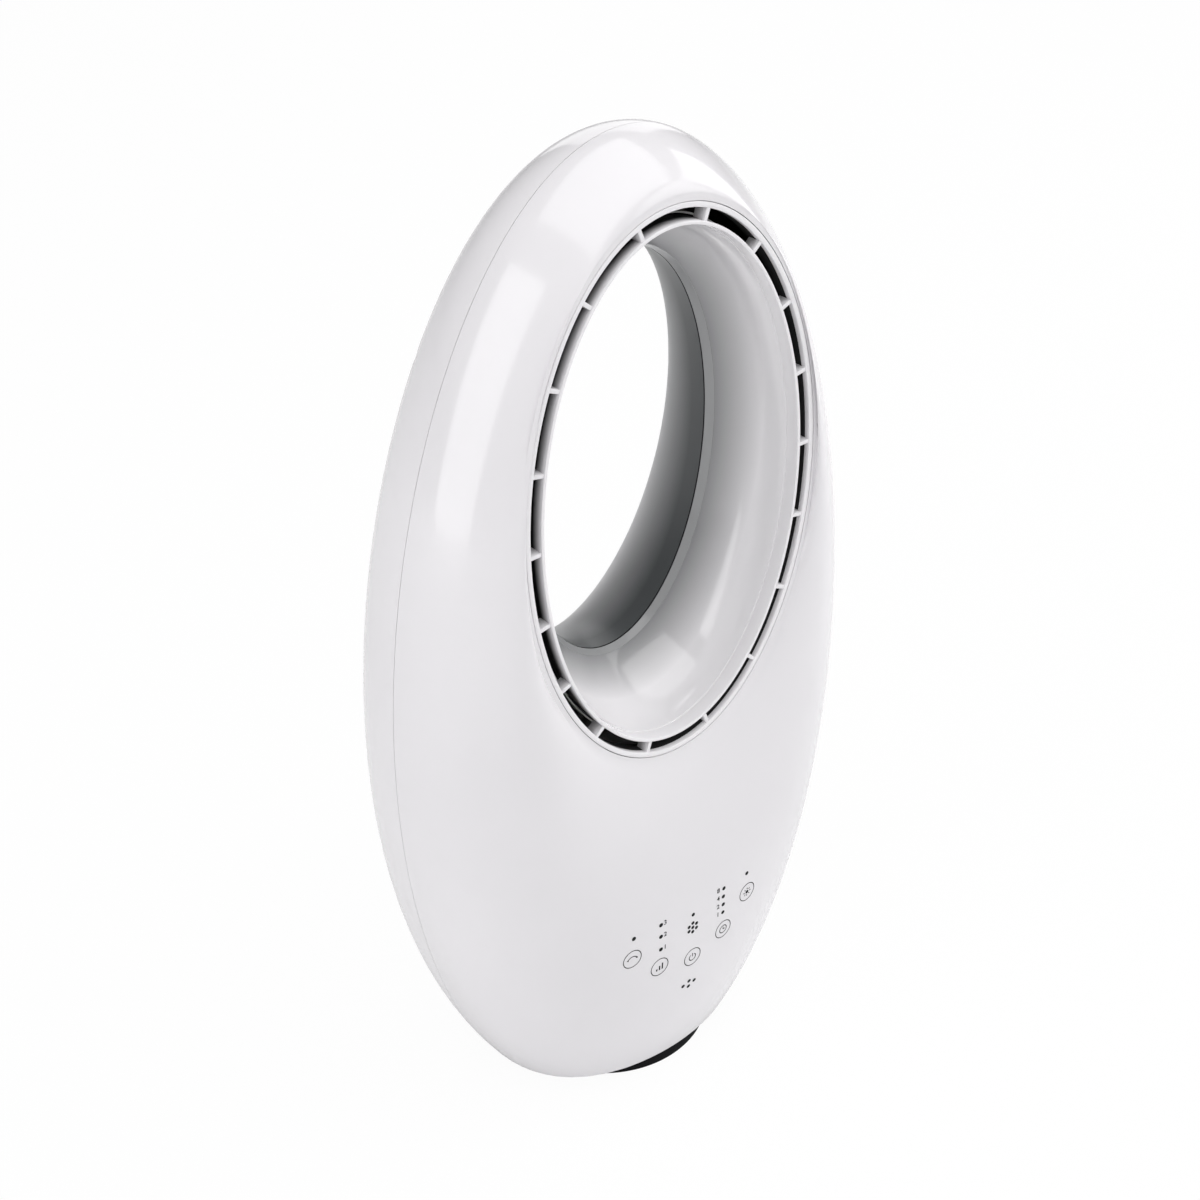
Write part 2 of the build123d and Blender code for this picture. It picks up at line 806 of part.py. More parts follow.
with BuildPart() as base_shell:
    add(foot_body.part)
    with BuildSketch(Plane.XY.offset(foot_top)):
        Circle(turret_radius)
    extrude(amount=turret_top - foot_top)
    with BuildSketch(Plane.XY.offset(foot_top - glide_groove)):
        Circle(glide_outer)
        Circle(glide_inner, mode=Mode.SUBTRACT)
    extrude(amount=glide_groove, mode=Mode.SUBTRACT)
    with BuildSketch(Plane.XY.offset(foot_clearance)):
        Circle(foot_radius - foot_wall)
        Circle(hub_outer, mode=Mode.SUBTRACT)
    extrude(amount=inside_top - foot_clearance, mode=Mode.SUBTRACT)
    with BuildSketch(Plane.XY.offset(foot_clearance)):
        Circle(foot_radius - foot_wall)
    extrude(amount=plate_thickness, mode=Mode.SUBTRACT)
    with BuildSketch(Plane.XY.offset(plate_top)):
        with Locations(*foot_screw_points):
            Circle(foot_boss_radius)
    extrude(amount=inside_top - plate_top)
    with BuildSketch(Plane.XY.offset(plate_top)):
        with Locations(*foot_screw_points):
            Circle(foot_screw_radius + pilot_fit)
    extrude(amount=inside_top - plate_top + 1, mode=Mode.SUBTRACT)
    with BuildSketch(Plane.XY.offset(plate_top)):
        Circle(turret_bore)
    extrude(amount=turret_top - plate_top, mode=Mode.SUBTRACT)
    with BuildSketch(Plane.XY.offset(turret_top)):
        with PolarLocations(gear_screw_pitch_radius, len(gear_screw_angles)):
            Circle(screw_radius + pilot_fit)
    extrude(amount=-gear_screw_length, mode=Mode.SUBTRACT)
base_shell.part.label = "base_shell"
export_step(base_shell.part, "parts/base_shell.step")

with BuildPart() as glide_ring:
    with BuildSketch(Plane.XY.offset(foot_top - glide_groove)):
        Circle(glide_outer - pilot_fit)
        Circle(glide_inner + pilot_fit, mode=Mode.SUBTRACT)
    extrude(amount=glide_height)
glide_ring.part.label = "glide_ring"
export_step(glide_ring.part, "parts/glide_ring.step")

with BuildPart() as base_plate:
    with BuildSketch(Plane.XY.offset(foot_clearance)):
        Circle(foot_radius - foot_wall - pilot_fit)
        with Locations(*foot_screw_points):
            Circle(foot_screw_radius + screw_clearance, mode=Mode.SUBTRACT)
    extrude(amount=plate_thickness)
base_plate.part.label = "base_plate"
export_step(base_plate.part, "parts/base_plate.step")

with BuildPart() as rubber_feet:
    with BuildSketch():
        with PolarLocations(feet_pitch_radius, feet_count, start_angle=feet_angles[0]):
            Circle(feet_radius)
        Circle(feet_radius)  # the pad under the middle of the base plate
    extrude(amount=foot_clearance)
rubber_feet.part.label = "rubber_feet"
export_step(rubber_feet.part, "parts/rubber_feet.step")

with BuildPart() as base_weight:
    with BuildSketch(Plane.XY.offset(plate_top)):
        Circle(weight_outer)
        Circle(weight_inner, mode=Mode.SUBTRACT)
    extrude(amount=weight_thickness)
base_weight.part.label = "base_weight"
export_step(base_weight.part, "parts/base_weight.step")

with BuildPart() as base_screws:
    for x, y in foot_screw_points:
        under_plate = Plane(origin=(x, y, foot_clearance), x_dir=(1, 0, 0), z_dir=(0, 0, -1))
        add(screw(under_plate, inside_top - foot_clearance, head_height=foot_screw_head_height))
base_screws.part.label = "base_screws"
export_step(base_screws.part, "parts/base_screws.step")


def gear_points(teeth):
    """Outline of an involute gear with a tooth centred on the local X axis."""
    pitch = gear_module * teeth / 2
    base = pitch * cos(radians(pressure_angle))
    root = pitch - dedendum * gear_module
    tip = pitch + addendum * gear_module
    start = max(base, root)

    def roll(radius):
        return sqrt((radius / base) ** 2 - 1) - acos(base / radius)

    half_tooth = pi / (2 * teeth) - gear_backlash / (4 * pitch)
    flank = [(start + (tip - start) * step / 4) for step in range(5)]
    left = [(radius, half_tooth + roll(pitch) - roll(radius)) for radius in flank]
    if root < start:
        left = [(root, left[0][1])] + left
    points = []
    for tooth in range(teeth):
        middle = 2 * pi * tooth / teeth
        for radius, angle in left:
            points.append((radius * cos(middle - angle), radius * sin(middle - angle)))
        for radius, angle in reversed(left):
            points.append((radius * cos(middle + angle), radius * sin(middle + angle)))
    return points


pinion_x = gear_module * (gear_teeth + pinion_teeth) / 2
gear_top = turret_top + gear_width

with BuildPart() as swing_gear:
    with BuildSketch(Plane.XY.offset(turret_top)):
        with BuildLine():
            Polyline(*gear_points(gear_teeth), close=True)
        make_face()
        Circle(turret_bore, mode=Mode.SUBTRACT)
        with PolarLocations(gear_screw_pitch_radius, len(gear_screw_angles)):
            Circle(screw_radius + screw_clearance, mode=Mode.SUBTRACT)
    extrude(amount=gear_width)
swing_gear.part.label = "swing_gear"
export_step(swing_gear.part, "parts/swing_gear.step")

with BuildPart() as gear_screws:
    for angle in gear_screw_angles:
        x = gear_screw_pitch_radius * cos(radians(angle))
        y = gear_screw_pitch_radius * sin(radians(angle))
        add(screw(Plane.XY.offset(gear_top).move(Location((x, y, 0))), gear_screw_length))
gear_screws.part.label = "gear_screws"
export_step(gear_screws.part, "parts/gear_screws.step")

bush_outer = turret_radius + turret_fit + bush_wall
bush_top = turret_top - hold_down_gap
boss_top = bush_top - bush_flange_thickness
swing_motor_x = pinion_x + swing_motor_offset
swing_post_points = [(swing_motor_x, side * swing_ear_reach) for side in (-1, 1)]
power_post_points = [
    (power_board_centre_x + x * power_posts[0], y * power_posts[1]) for x in (-1, 1) for y in (-1, 1)
]

with BuildPart() as head_floor:
    with Locations((0, 0, floor_bottom)):
        Box(far, far, head_floor_thickness, align=(Align.CENTER, Align.CENTER, Align.MIN))
    add(body_inside.part, mode=Mode.INTERSECT)
    with BuildSketch(Plane.XY.offset(floor_bottom)):
        Circle(bush_outer + floor_boss_wall)
    extrude(amount=boss_top - floor_bottom)
    with BuildSketch(Plane.XY.offset(floor_top)):
        with Locations(*swing_post_points):
            Circle(swing_ear_radius)
    extrude(amount=swing_motor_z - floor_top)
    with BuildSketch(Plane.XY.offset(floor_top)):
        with Locations(*power_post_points):
            Circle(power_post_radius)
    extrude(amount=power_board_z - floor_top)
    with BuildSketch(Plane.XY.offset(floor_bottom)):
        Circle(bush_outer + bush_fit)
    extrude(amount=far / 4, mode=Mode.SUBTRACT)
    with BuildSketch(Plane.XY.offset(floor_bottom)):
        with Locations(*lug_points):
            Circle(screw_radius + screw_clearance)
    extrude(amount=head_floor_thickness, mode=Mode.SUBTRACT)
    with BuildSketch(Plane.XY.offset(floor_bottom)):
        with Locations(*lug_points):
            Circle(screw_head_radius + screw_clearance)
    extrude(amount=screw_head_height + screw_clearance, mode=Mode.SUBTRACT)
    with BuildSketch(Plane.XY.offset(swing_motor_z)):
        with Locations(*swing_post_points):
            Circle(screw_radius + pilot_fit)
    extrude(amount=-swing_screw_length, mode=Mode.SUBTRACT)
    with BuildSketch(Plane.XY.offset(power_board_z)):
        with Locations(*power_post_points):
            Circle(screw_radius + pilot_fit)
    extrude(amount=-board_screw_length, mode=Mode.SUBTRACT)
head_floor.part.label = "head_floor"
export_step(head_floor.part, "parts/head_floor.step")

with BuildPart() as turret_bush:
    with BuildSketch(Plane.XY.offset(floor_bottom)):
        Circle(bush_outer)
    extrude(amount=boss_top - floor_bottom)
    with BuildSketch(Plane.XY.offset(boss_top)):
        Circle(turret_radius + bush_flange)
    extrude(amount=bush_flange_thickness)
    with BuildSketch(Plane.XY.offset(floor_bottom)):
        Circle(turret_radius + turret_fit)
    extrude(amount=far / 4, mode=Mode.SUBTRACT)
turret_bush.part.label = "turret_bush"
export_step(turret_bush.part, "parts/turret_bush.step")

with BuildPart() as floor_screws:
    for x, y in lug_points:
        seat = (x, y, floor_bottom + screw_head_height + screw_clearance)
        add(screw(Plane(origin=seat, x_dir=(1, 0, 0), z_dir=(0, 0, -1)), floor_screw_length))
floor_screws.part.label = "floor_screws"
export_step(floor_screws.part, "parts/floor_screws.step")

# ================================================================ swing drive
pinion_bottom = turret_top + pinion_gap
boss_bottom = swing_motor_z - swing_boss_height
with BuildPart() as swing_pinion:
    with BuildSketch(Plane.XY.offset(pinion_bottom).move(Location((pinion_x, 0, 0)))):
        with BuildLine(Location((0, 0), 180 / pinion_teeth)):
            Polyline(*gear_points(pinion_teeth), close=True)
        make_face()
        Circle(swing_shaft_radius, mode=Mode.SUBTRACT)
    extrude(amount=gear_width)
swing_pinion.part.label = "swing_pinion"
export_step(swing_pinion.part, "parts/swing_pinion.step")

with BuildPart() as swing_motor_shaft:
    with BuildSketch(Plane.XY.offset(pinion_bottom)):
        with Locations((pinion_x, 0)):
            Circle(swing_shaft_radius)
    extrude(amount=swing_motor_z + swing_shaft_depth - pinion_bottom - floor_gap)
swing_motor_shaft.part.label = "swing_motor_shaft"
export_step(swing_motor_shaft.part, "parts/swing_motor_shaft.step")

with BuildPart() as swing_motor:
    with BuildSketch(Plane.XY.offset(swing_motor_z)):
        with Locations((swing_motor_x, 0)):
            Circle(swing_motor_radius)
    extrude(amount=swing_motor_height)
    with BuildSketch(Plane.XY.offset(swing_motor_z)):
        with Locations((swing_motor_x, 0)):
            SlotCenterToCenter(2 * swing_ear_reach, 2 * swing_ear_radius, rotation=90)
    extrude(amount=swing_ear_thickness)
    with BuildSketch(Plane.XY.offset(boss_bottom)):
        with Locations((pinion_x, 0)):
            Circle(swing_boss_radius)
    extrude(amount=swing_boss_height)
    with BuildSketch(Plane.XY.offset(boss_bottom)):
        with Locations((pinion_x, 0)):
            Circle(swing_shaft_radius + pilot_fit)
    extrude(amount=swing_boss_height + swing_shaft_depth, mode=Mode.SUBTRACT)
    with BuildSketch(Plane.XY.offset(swing_motor_z)):
        with Locations(*swing_post_points):
            Circle(screw_radius + screw_clearance)
    extrude(amount=swing_ear_thickness, mode=Mode.SUBTRACT)
swing_motor.part.label = "swing_motor"
export_step(swing_motor.part, "parts/swing_motor.step")

with BuildPart() as swing_motor_screws:
    for x, y in swing_post_points:
        ear_top = Plane.XY.offset(swing_motor_z + swing_ear_thickness)
        add(screw(ear_top.move(Location((x, y, 0))), swing_screw_length))
swing_motor_screws.part.label = "swing_motor_screws"
export_step(swing_motor_screws.part, "parts/swing_motor_screws.step")

# ================================================================ blower housing
outlet_centre_x = (outlet_left + outlet_right) / 2
outlet_width = outlet_right - outlet_left
outlet_centre_y = (scroll_front + scroll_rear) / 2
outlet_depth = scroll_rear - scroll_front
mount_angles = [mount_first_arm + turn * 120 for turn in range(3)]
mount_points = [(mount_hole_radius * cos(radians(a)), mount_hole_radius * sin(radians(a))) for a in mount_angles]

with BuildPart() as blower_housing_front:
    add(scroll_form(housing_front_face, scroll_split, housing_wall))
    add(scroll_form(scroll_front, scroll_split), mode=Mode.SUBTRACT)
    with BuildSketch(blower_plane(housing_front_face)):
        Circle(passage_radius)
        with Locations(*mount_points):
            Circle(screw_radius + pilot_fit)
    extrude(amount=-housing_wall, mode=Mode.SUBTRACT)
blower_housing_front.part.label = "blower_housing_front"
export_step(blower_housing_front.part, "parts/blower_housing_front.step")

with BuildPart() as blower_housing_rear:
    add(scroll_form(scroll_split, housing_rear_face, housing_wall))
    with BuildSketch(across(housing_rear_face)):
        with Locations(*ear_points):
            Circle(ear_radius)
    extrude(amount=ear_thickness)
    add(scroll_form(scroll_split, scroll_rear), mode=Mode.SUBTRACT)
    with BuildSketch(blower_plane(housing_rear_face)):
        Circle(inlet_radius + housing_wall)
    extrude(amount=inlet_lip_length)
    with BuildSketch(blower_plane(housing_rear_face)):
        Circle(inlet_radius)
    extrude(amount=inlet_lip_length, mode=Mode.SUBTRACT)
    with BuildSketch(across(housing_rear_face)):
        with Locations(*ear_points):
            Circle(screw_radius + screw_clearance)
    extrude(amount=ear_thickness, mode=Mode.SUBTRACT)
blower_housing_rear.part.label = "blower_housing_rear"
export_step(blower_housing_rear.part, "parts/blower_housing_rear.step")

with BuildPart() as housing_screws:
    for x, z in ear_points:
        ear_front = Plane(origin=(x, housing_rear_face - ear_thickness, z), x_dir=(1, 0, 0), z_dir=(0, -1, 0))
        add(screw(ear_front, housing_screw_length))
housing_screws.part.label = "housing_screws"
export_step(housing_screws.part, "parts/housing_screws.step")

with BuildPart() as outlet_gasket:
    with BuildSketch(Plane.XY.offset(outlet_top)):
        with Locations((outlet_centre_x, outlet_centre_y)):
            Rectangle(outlet_width + 2 * gasket_width, outlet_depth + 2 * gasket_width)
            Rectangle(outlet_width, outlet_depth, mode=Mode.SUBTRACT)
    extrude(amount=chamber_floor_z - outlet_top)
outlet_gasket.part.label = "outlet_gasket"
export_step(outlet_gasket.part, "parts/outlet_gasket.step")

with BuildPart() as chamber_floor:
    with Locations((0, 0, chamber_floor_z)):
        Box(far, far, chamber_floor_thickness, align=(Align.CENTER, Align.CENTER, Align.MIN))
    add(body_inside.part, mode=Mode.INTERSECT)
    with BuildSketch(Plane.XY.offset(chamber_floor_z)):
        with Locations((outlet_centre_x, outlet_centre_y)):
            Rectangle(outlet_width, outlet_depth)
    extrude(amount=chamber_floor_thickness, mode=Mode.SUBTRACT)
chamber_floor.part.label = "chamber_floor"
export_step(chamber_floor.part, "parts/chamber_floor.step")

# ================================================================ blower motor
mount_front_y = housing_front_face - grommet_height - mount_thickness
can_front_y = mount_front_y - motor_length
pocket_radius = bearing_radius + pocket_wall

with BuildPart() as motor_grommets:
    with BuildSketch(blower_plane(housing_front_face)):
        with Locations(*mount_points):
            Circle(grommet_radius)
            Circle(screw_radius + pilot_fit, mode=Mode.SUBTRACT)
    extrude(amount=grommet_height)
motor_grommets.part.label = "motor_grommets"
export_step(motor_grommets.part, "parts/motor_grommets.step")

with BuildPart() as motor_mount:
    with BuildSketch(blower_plane(mount_front_y)):
        Circle(mount_radius)
        for angle in mount_angles:
            with Locations(Location((0, 0), angle)):
                Rectangle(mount_hole_radius, mount_arm_width, align=(Align.MIN, Align.CENTER))
        with Locations(*mount_points):
            Circle(mount_arm_width / 2)
            Circle(screw_radius + screw_clearance, mode=Mode.SUBTRACT)
        Circle(passage_radius, mode=Mode.SUBTRACT)
    extrude(amount=-mount_thickness)
motor_mount.part.label = "motor_mount"
export_step(motor_mount.part, "parts/motor_mount.step")

with BuildPart() as motor_screws:
    for x, z in mount_points:
        arm_front = blower_plane(mount_front_y).move(Location((x, z, 0)))
        add(screw(arm_front, mount_thickness + grommet_height + housing_wall))
motor_screws.part.label = "motor_screws"
export_step(motor_screws.part, "parts/motor_screws.step")

with BuildPart() as motor_can:
    with BuildSketch(blower_plane(can_front_y)):
        Circle(motor_radius)
    extrude(amount=-motor_length)
    with BuildSketch(blower_plane(can_front_y)):
        Circle(motor_radius - motor_wall)
    extrude(amount=motor_wall - motor_length, mode=Mode.SUBTRACT)
    with BuildSketch(blower_plane(mount_front_y)):
        Circle(pocket_radius)
    extrude(amount=mount_front_y - rear_bearing_y)
    with BuildSketch(blower_plane(rear_bearing_y)):
        Circle(bearing_radius)
    extrude(amount=-bearing_width, mode=Mode.SUBTRACT)
    with BuildSketch(blower_plane(can_front_y)):
        Circle(passage_radius)
    extrude(amount=-motor_length, mode=Mode.SUBTRACT)
motor_can.part.label = "motor_can"
export_step(motor_can.part, "parts/motor_can.step")

with BuildPart() as motor_end_cap:
    with BuildSketch(blower_plane(can_front_y)):
        Circle(motor_radius)
    extrude(amount=motor_cap_thickness)
    with BuildSketch(blower_plane(can_front_y)):
        Circle(pocket_radius)
    extrude(amount=can_front_y - front_bearing_y - bearing_width)
    with BuildSketch(blower_plane(front_bearing_y + bearing_width)):
        Circle(bearing_radius)
    extrude(amount=bearing_width, mode=Mode.SUBTRACT)
motor_end_cap.part.label = "motor_end_cap"
export_step(motor_end_cap.part, "parts/motor_end_cap.step")

with BuildPart() as motor_bearings:
    for y in (front_bearing_y, rear_bearing_y):
        with BuildSketch(blower_plane(y)):
            Circle(bearing_radius)
            Circle(shaft_radius + shaft_fit, mode=Mode.SUBTRACT)
        extrude(amount=-bearing_width)
motor_bearings.part.label = "motor_bearings"
export_step(motor_bearings.part, "parts/motor_bearings.step")

with BuildPart() as motor_stator:
    with BuildSketch(blower_plane(stator_front_y)):
        Circle(stator_outer)
        Circle(stator_outer - stator_back_wall, mode=Mode.SUBTRACT)
        for slot in range(stator_slots):
            with Locations(Location((0, 0), slot * 360 / stator_slots)):
                with Locations((rotor_radius + air_gap, 0)):
                    Rectangle(
                        stator_outer - stator_back_wall / 2 - rotor_radius - air_gap,
                        stator_tooth_width,
                        align=(Align.MIN, Align.CENTER),
                    )
    extrude(amount=-rotor_length)
motor_stator.part.label = "motor_stator"
export_step(motor_stator.part, "parts/motor_stator.step")

with BuildPart() as motor_coils:
    with BuildSketch(blower_plane(stator_front_y - coil_overhang)):
        for slot in range(stator_slots):
            with Locations(Location((0, 0), slot * 360 / stator_slots)):
                with Locations((coil_inner, 0)):
                    Rectangle(
                        stator_outer - stator_back_wall - coil_inner - air_gap,
                        coil_width,
                        align=(Align.MIN, Align.CENTER),
                    )
    extrude(amount=-rotor_length - 2 * coil_overhang)
    add(motor_stator.part, mode=Mode.SUBTRACT)
motor_coils.part.label = "motor_coils"
export_step(motor_coils.part, "parts/motor_coils.step")

with BuildPart() as motor_rotor:
    with BuildSketch(blower_plane(stator_front_y)):
        Circle(rotor_radius)
        Circle(shaft_radius, mode=Mode.SUBTRACT)
    extrude(amount=-rotor_length)
motor_rotor.part.label = "motor_rotor"
export_step(motor_rotor.part, "parts/motor_rotor.step")

with BuildPart() as motor_shaft:
    with BuildSketch(blower_plane(shaft_tip)):
        Circle(shaft_radius)
    extrude(amount=shaft_tip - front_bearing_y)
motor_shaft.part.label = "motor_shaft"
export_step(motor_shaft.part, "parts/motor_shaft.step")

# ================================================================ impeller
impeller_axis = Axis((0, 0, blower_z), (0, 1, 0))
plate_rear = impeller_front + impeller_plate
hub_rear = impeller_front + hub_length
blade_reach = impeller_radius - impeller_inner_radius


def blade_points():
    """Outline of one forward-curved blade that starts on the local X axis."""
    front, back = [], []
    for step in range(blade_stations):
        t = step / (blade_stations - 1)
        radius = impeller_inner_radius + blade_end_clearance + (blade_reach - 2 * blade_end_clearance) * t
        turn = radians(blade_lean) * t * t * blade_reach / impeller_radius
        slope = atan2(2 * radians(blade_lean) * t * radius / impeller_radius, 1)
        x, y = radius * cos(turn), radius * sin(turn)
        across_x = -sin(turn + slope) * blade_thickness / 2
        across_y = cos(turn + slope) * blade_thickness / 2
        front.append((x + across_x, y + across_y))
        back.append((x - across_x, y - across_y))
    return front + back[::-1]


with BuildPart() as impeller:
    with BuildSketch(Plane.XY.offset(blower_z)):
        with BuildLine():
            Polyline(
                (hub_radius, hub_rear),
                (shaft_radius, hub_rear),
                (shaft_radius, impeller_front),
                (impeller_radius, impeller_front),
                (impeller_radius, plate_rear),
                (hub_cone_radius, plate_rear),
            )
            Bezier(
                (hub_cone_radius, plate_rear),
                (hub_radius + hub_length / 6, plate_rear),
                (hub_radius, plate_rear + hub_cone_length / 3),
                (hub_radius, plate_rear + hub_cone_length),
            )
            Line((hub_radius, plate_rear + hub_cone_length), (hub_radius, hub_rear))
        make_face()
    revolve(axis=impeller_axis)
    with BuildSketch(blower_plane(plate_rear)):
        with PolarLocations(0, blade_count):
            with BuildLine():
                Polyline(*blade_points(), close=True)
            make_face()
    extrude(amount=plate_rear - impeller_rear + shroud_width)
    with BuildSketch(blower_plane(impeller_rear)):
        Circle(impeller_radius)
        Circle(impeller_inner_radius, mode=Mode.SUBTRACT)
    extrude(amount=shroud_width)
impeller.part.label = "impeller"
export_step(impeller.part, "parts/impeller.step")

with BuildPart() as impeller_nut:
    with BuildSketch(blower_plane(hub_rear + nut_thickness)):
        RegularPolygon(nut_across / 2 + 1, 6)
        Circle(shaft_radius, mode=Mode.SUBTRACT)
    extrude(amount=nut_thickness)
impeller_nut.part.label = "impeller_nut"
export_step(impeller_nut.part, "parts/impeller_nut.step")

# ================================================================ electronics
board_rear_y = panel_board_y + board_thickness
key_points = both_sides(key_positions)

with BuildPart() as control_board:
    with BuildSketch(across(board_rear_y)):
        with Locations((0, panel_board_centre_z)):
            RectangleRounded(*panel_board, 2)
        with Locations(*panel_post_points):
            Circle(screw_radius + screw_clearance, mode=Mode.SUBTRACT)
    extrude(amount=board_thickness)
control_board.part.label = "control_board"
export_step(control_board.part, "parts/control_board.step")

with BuildPart() as touch_pads:
    with BuildSketch(across(panel_board_y)):
        with Locations(*key_points):
            Circle(key_foam_radius)
    extrude(amount=far / 4)
    add(front_cavity, mode=Mode.INTERSECT)
touch_pads.part.label = "touch_pads"
export_step(touch_pads.part, "parts/touch_pads.step")

with BuildPart() as indicator_leds:
    with BuildSketch(across(panel_board_y)):
        with Locations(*led_left, *led_right):
            Rectangle(led_size[0], led_size[2])
    extrude(amount=led_size[1])
indicator_leds.part.label = "indicator_leds"
export_step(indicator_leds.part, "parts/indicator_leds.step")

with BuildPart() as ir_receiver:
    with BuildSketch(across(panel_board_y)):
        with Locations(receiver_place):
            Rectangle(receiver_size[0], receiver_size[2])
    extrude(amount=receiver_size[1])
ir_receiver.part.label = "ir_receiver"
export_step(ir_receiver.part, "parts/ir_receiver.step")

with BuildPart() as buzzer:
    with BuildSketch(across(panel_board_y)):
        with Locations(buzzer_place):
            Circle(buzzer_radius)
    extrude(amount=buzzer_height)
buzzer.part.label = "buzzer"
export_step(buzzer.part, "parts/buzzer.step")

board_top = power_board_z + board_thickness
with BuildPart() as power_board_sheet:
    with BuildSketch(Plane.XY.offset(power_board_z)):
        with Locations((power_board_centre_x, 0)):
            RectangleRounded(*power_board, 2)
        with Locations(*power_post_points):
            Circle(screw_radius + screw_clearance, mode=Mode.SUBTRACT)
    extrude(amount=board_thickness)
power_board_sheet.part.label = "power_board"
export_step(power_board_sheet.part, "parts/power_board.step")

with BuildPart() as mains_choke:
    with Locations((power_board_centre_x, choke_y, board_top)):
        Box(*choke_size, align=(Align.CENTER, Align.CENTER, Align.MIN))
mains_choke.part.label = "filter_choke"
export_step(mains_choke.part, "parts/filter_choke.step")

with BuildPart() as capacitors:
    with BuildSketch(Plane.XY.offset(board_top)):
        with Locations(*[(power_board_centre_x + x, capacitor_y) for x in (-capacitor_reach, capacitor_reach)]):
            Circle(capacitor_radius)
    extrude(amount=capacitor_height)
capacitors.part.label = "capacitors"
export_step(capacitors.part, "parts/capacitors.step")

with BuildPart() as board_screws:
    for x, z in panel_post_points:
        behind_board = Plane(origin=(x, board_rear_y, z), x_dir=(1, 0, 0), z_dir=(0, 1, 0))
        add(screw(behind_board, board_screw_length))
    for x, y in power_post_points:
        add(screw(Plane.XY.offset(board_top).move(Location((x, y, 0))), board_screw_length))
board_screws.part.label = "board_screws"
export_step(board_screws.part, "parts/board_screws.step")

with BuildPart() as shell_screws:
    for x, z in well_points:
        in_well = Plane(origin=(x, well_floor_y, z), x_dir=(1, 0, 0), z_dir=(0, 1, 0))
        add(screw(in_well, shell_screw_length))
shell_screws.part.label = "shell_screws"
export_step(shell_screws.part, "parts/shell_screws.step")

with BuildPart() as inlet_bezel:
    with BuildSketch(across(inlet_skin_y)):
        with Locations((0, inlet_z)):
            Circle(socket_bezel_radius)
    extrude(amount=-socket_bezel_thickness)
    with BuildSketch(across(inlet_skin_y)):
        with Locations((0, inlet_z)):
            Circle(socket_bezel_radius)
    extrude(amount=shell_wall)
    add(rear_skin, mode=Mode.SUBTRACT)

with BuildPart() as dc_inlet:
    add(inlet_bezel.part)
    with BuildSketch(across(inlet_skin_y + socket_bezel_thickness)):
        with Locations((0, inlet_z)):
            Circle(socket_radius)
    extrude(amount=socket_length)
    with BuildSketch(across(inlet_skin_y + socket_bezel_thickness)):
        with Locations((0, inlet_z)):
            Circle(socket_bore_radius)
            Circle(socket_pin_radius, mode=Mode.SUBTRACT)
    extrude(amount=socket_depth, mode=Mode.SUBTRACT)
dc_inlet.part.label = "dc_inlet"
export_step(dc_inlet.part, "parts/dc_inlet.step")
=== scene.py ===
# Bladeless table fan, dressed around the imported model. Metres, Z up, the front faces -Y.
import json
import math

import bmesh
import bpy
from mathutils import Matrix, Vector
from mathutils.bvhtree import BVHTree


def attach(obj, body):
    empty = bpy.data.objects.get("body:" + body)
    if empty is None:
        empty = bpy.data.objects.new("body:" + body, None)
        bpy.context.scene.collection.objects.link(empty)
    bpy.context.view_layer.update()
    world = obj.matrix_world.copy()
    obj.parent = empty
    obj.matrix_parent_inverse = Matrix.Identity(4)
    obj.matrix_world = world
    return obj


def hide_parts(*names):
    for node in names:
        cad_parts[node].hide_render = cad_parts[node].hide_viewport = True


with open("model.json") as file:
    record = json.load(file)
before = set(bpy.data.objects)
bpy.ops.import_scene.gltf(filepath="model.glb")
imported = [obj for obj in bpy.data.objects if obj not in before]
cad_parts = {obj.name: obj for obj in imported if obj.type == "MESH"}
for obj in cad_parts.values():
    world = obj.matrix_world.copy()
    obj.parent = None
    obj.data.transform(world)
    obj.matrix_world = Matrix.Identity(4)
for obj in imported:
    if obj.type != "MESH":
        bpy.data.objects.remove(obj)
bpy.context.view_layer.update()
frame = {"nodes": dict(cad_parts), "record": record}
mm = 0.001  # sizes below are in millimetres, the floor and the lamps in metres
print("frame loaded:", len(frame["nodes"]), "nodes")


def newObject(name, data):
    made = bpy.data.objects.new(name, data)
    bpy.context.scene.collection.objects.link(made)
    return made


# camera first: the photograph's place, angle and framing
cameraSet = {
    "aim": (-6.09, 0, 288.65),
    "distance": 1035.67,
    "turn": 40.55,  # degrees round the object from its front
    "tilt": 33.78,
    "roll": 1.16,
    "lens": 60.334,
    "sensor": 36,
    "shift": (-0.00129, -0.00233),
}


def makeCamera(s):
    turn, tilt, roll = (math.radians(s[key]) for key in ("turn", "tilt", "roll"))
    forward = Vector((math.sin(turn) * math.cos(tilt), math.cos(turn) * math.cos(tilt), -math.sin(tilt)))
    level = Vector((math.cos(turn), -math.sin(turn), 0))
    up = level.cross(forward)
    right = level * math.cos(roll) + up * math.sin(roll)
    above = up * math.cos(roll) - level * math.sin(roll)
    data = bpy.data.cameras.new("camera")
    data.lens, data.sensor_width = s["lens"], s["sensor"]
    data.shift_x, data.shift_y = s["shift"]
    camera = newObject("camera", data)
    stand = Matrix.Translation((Vector(s["aim"]) - forward * s["distance"]) * mm)
    camera.matrix_world = stand @ Matrix((right, above, -forward)).transposed().to_4x4()
    bpy.context.scene.camera = camera


makeCamera(cameraSet)
print("camera placed")

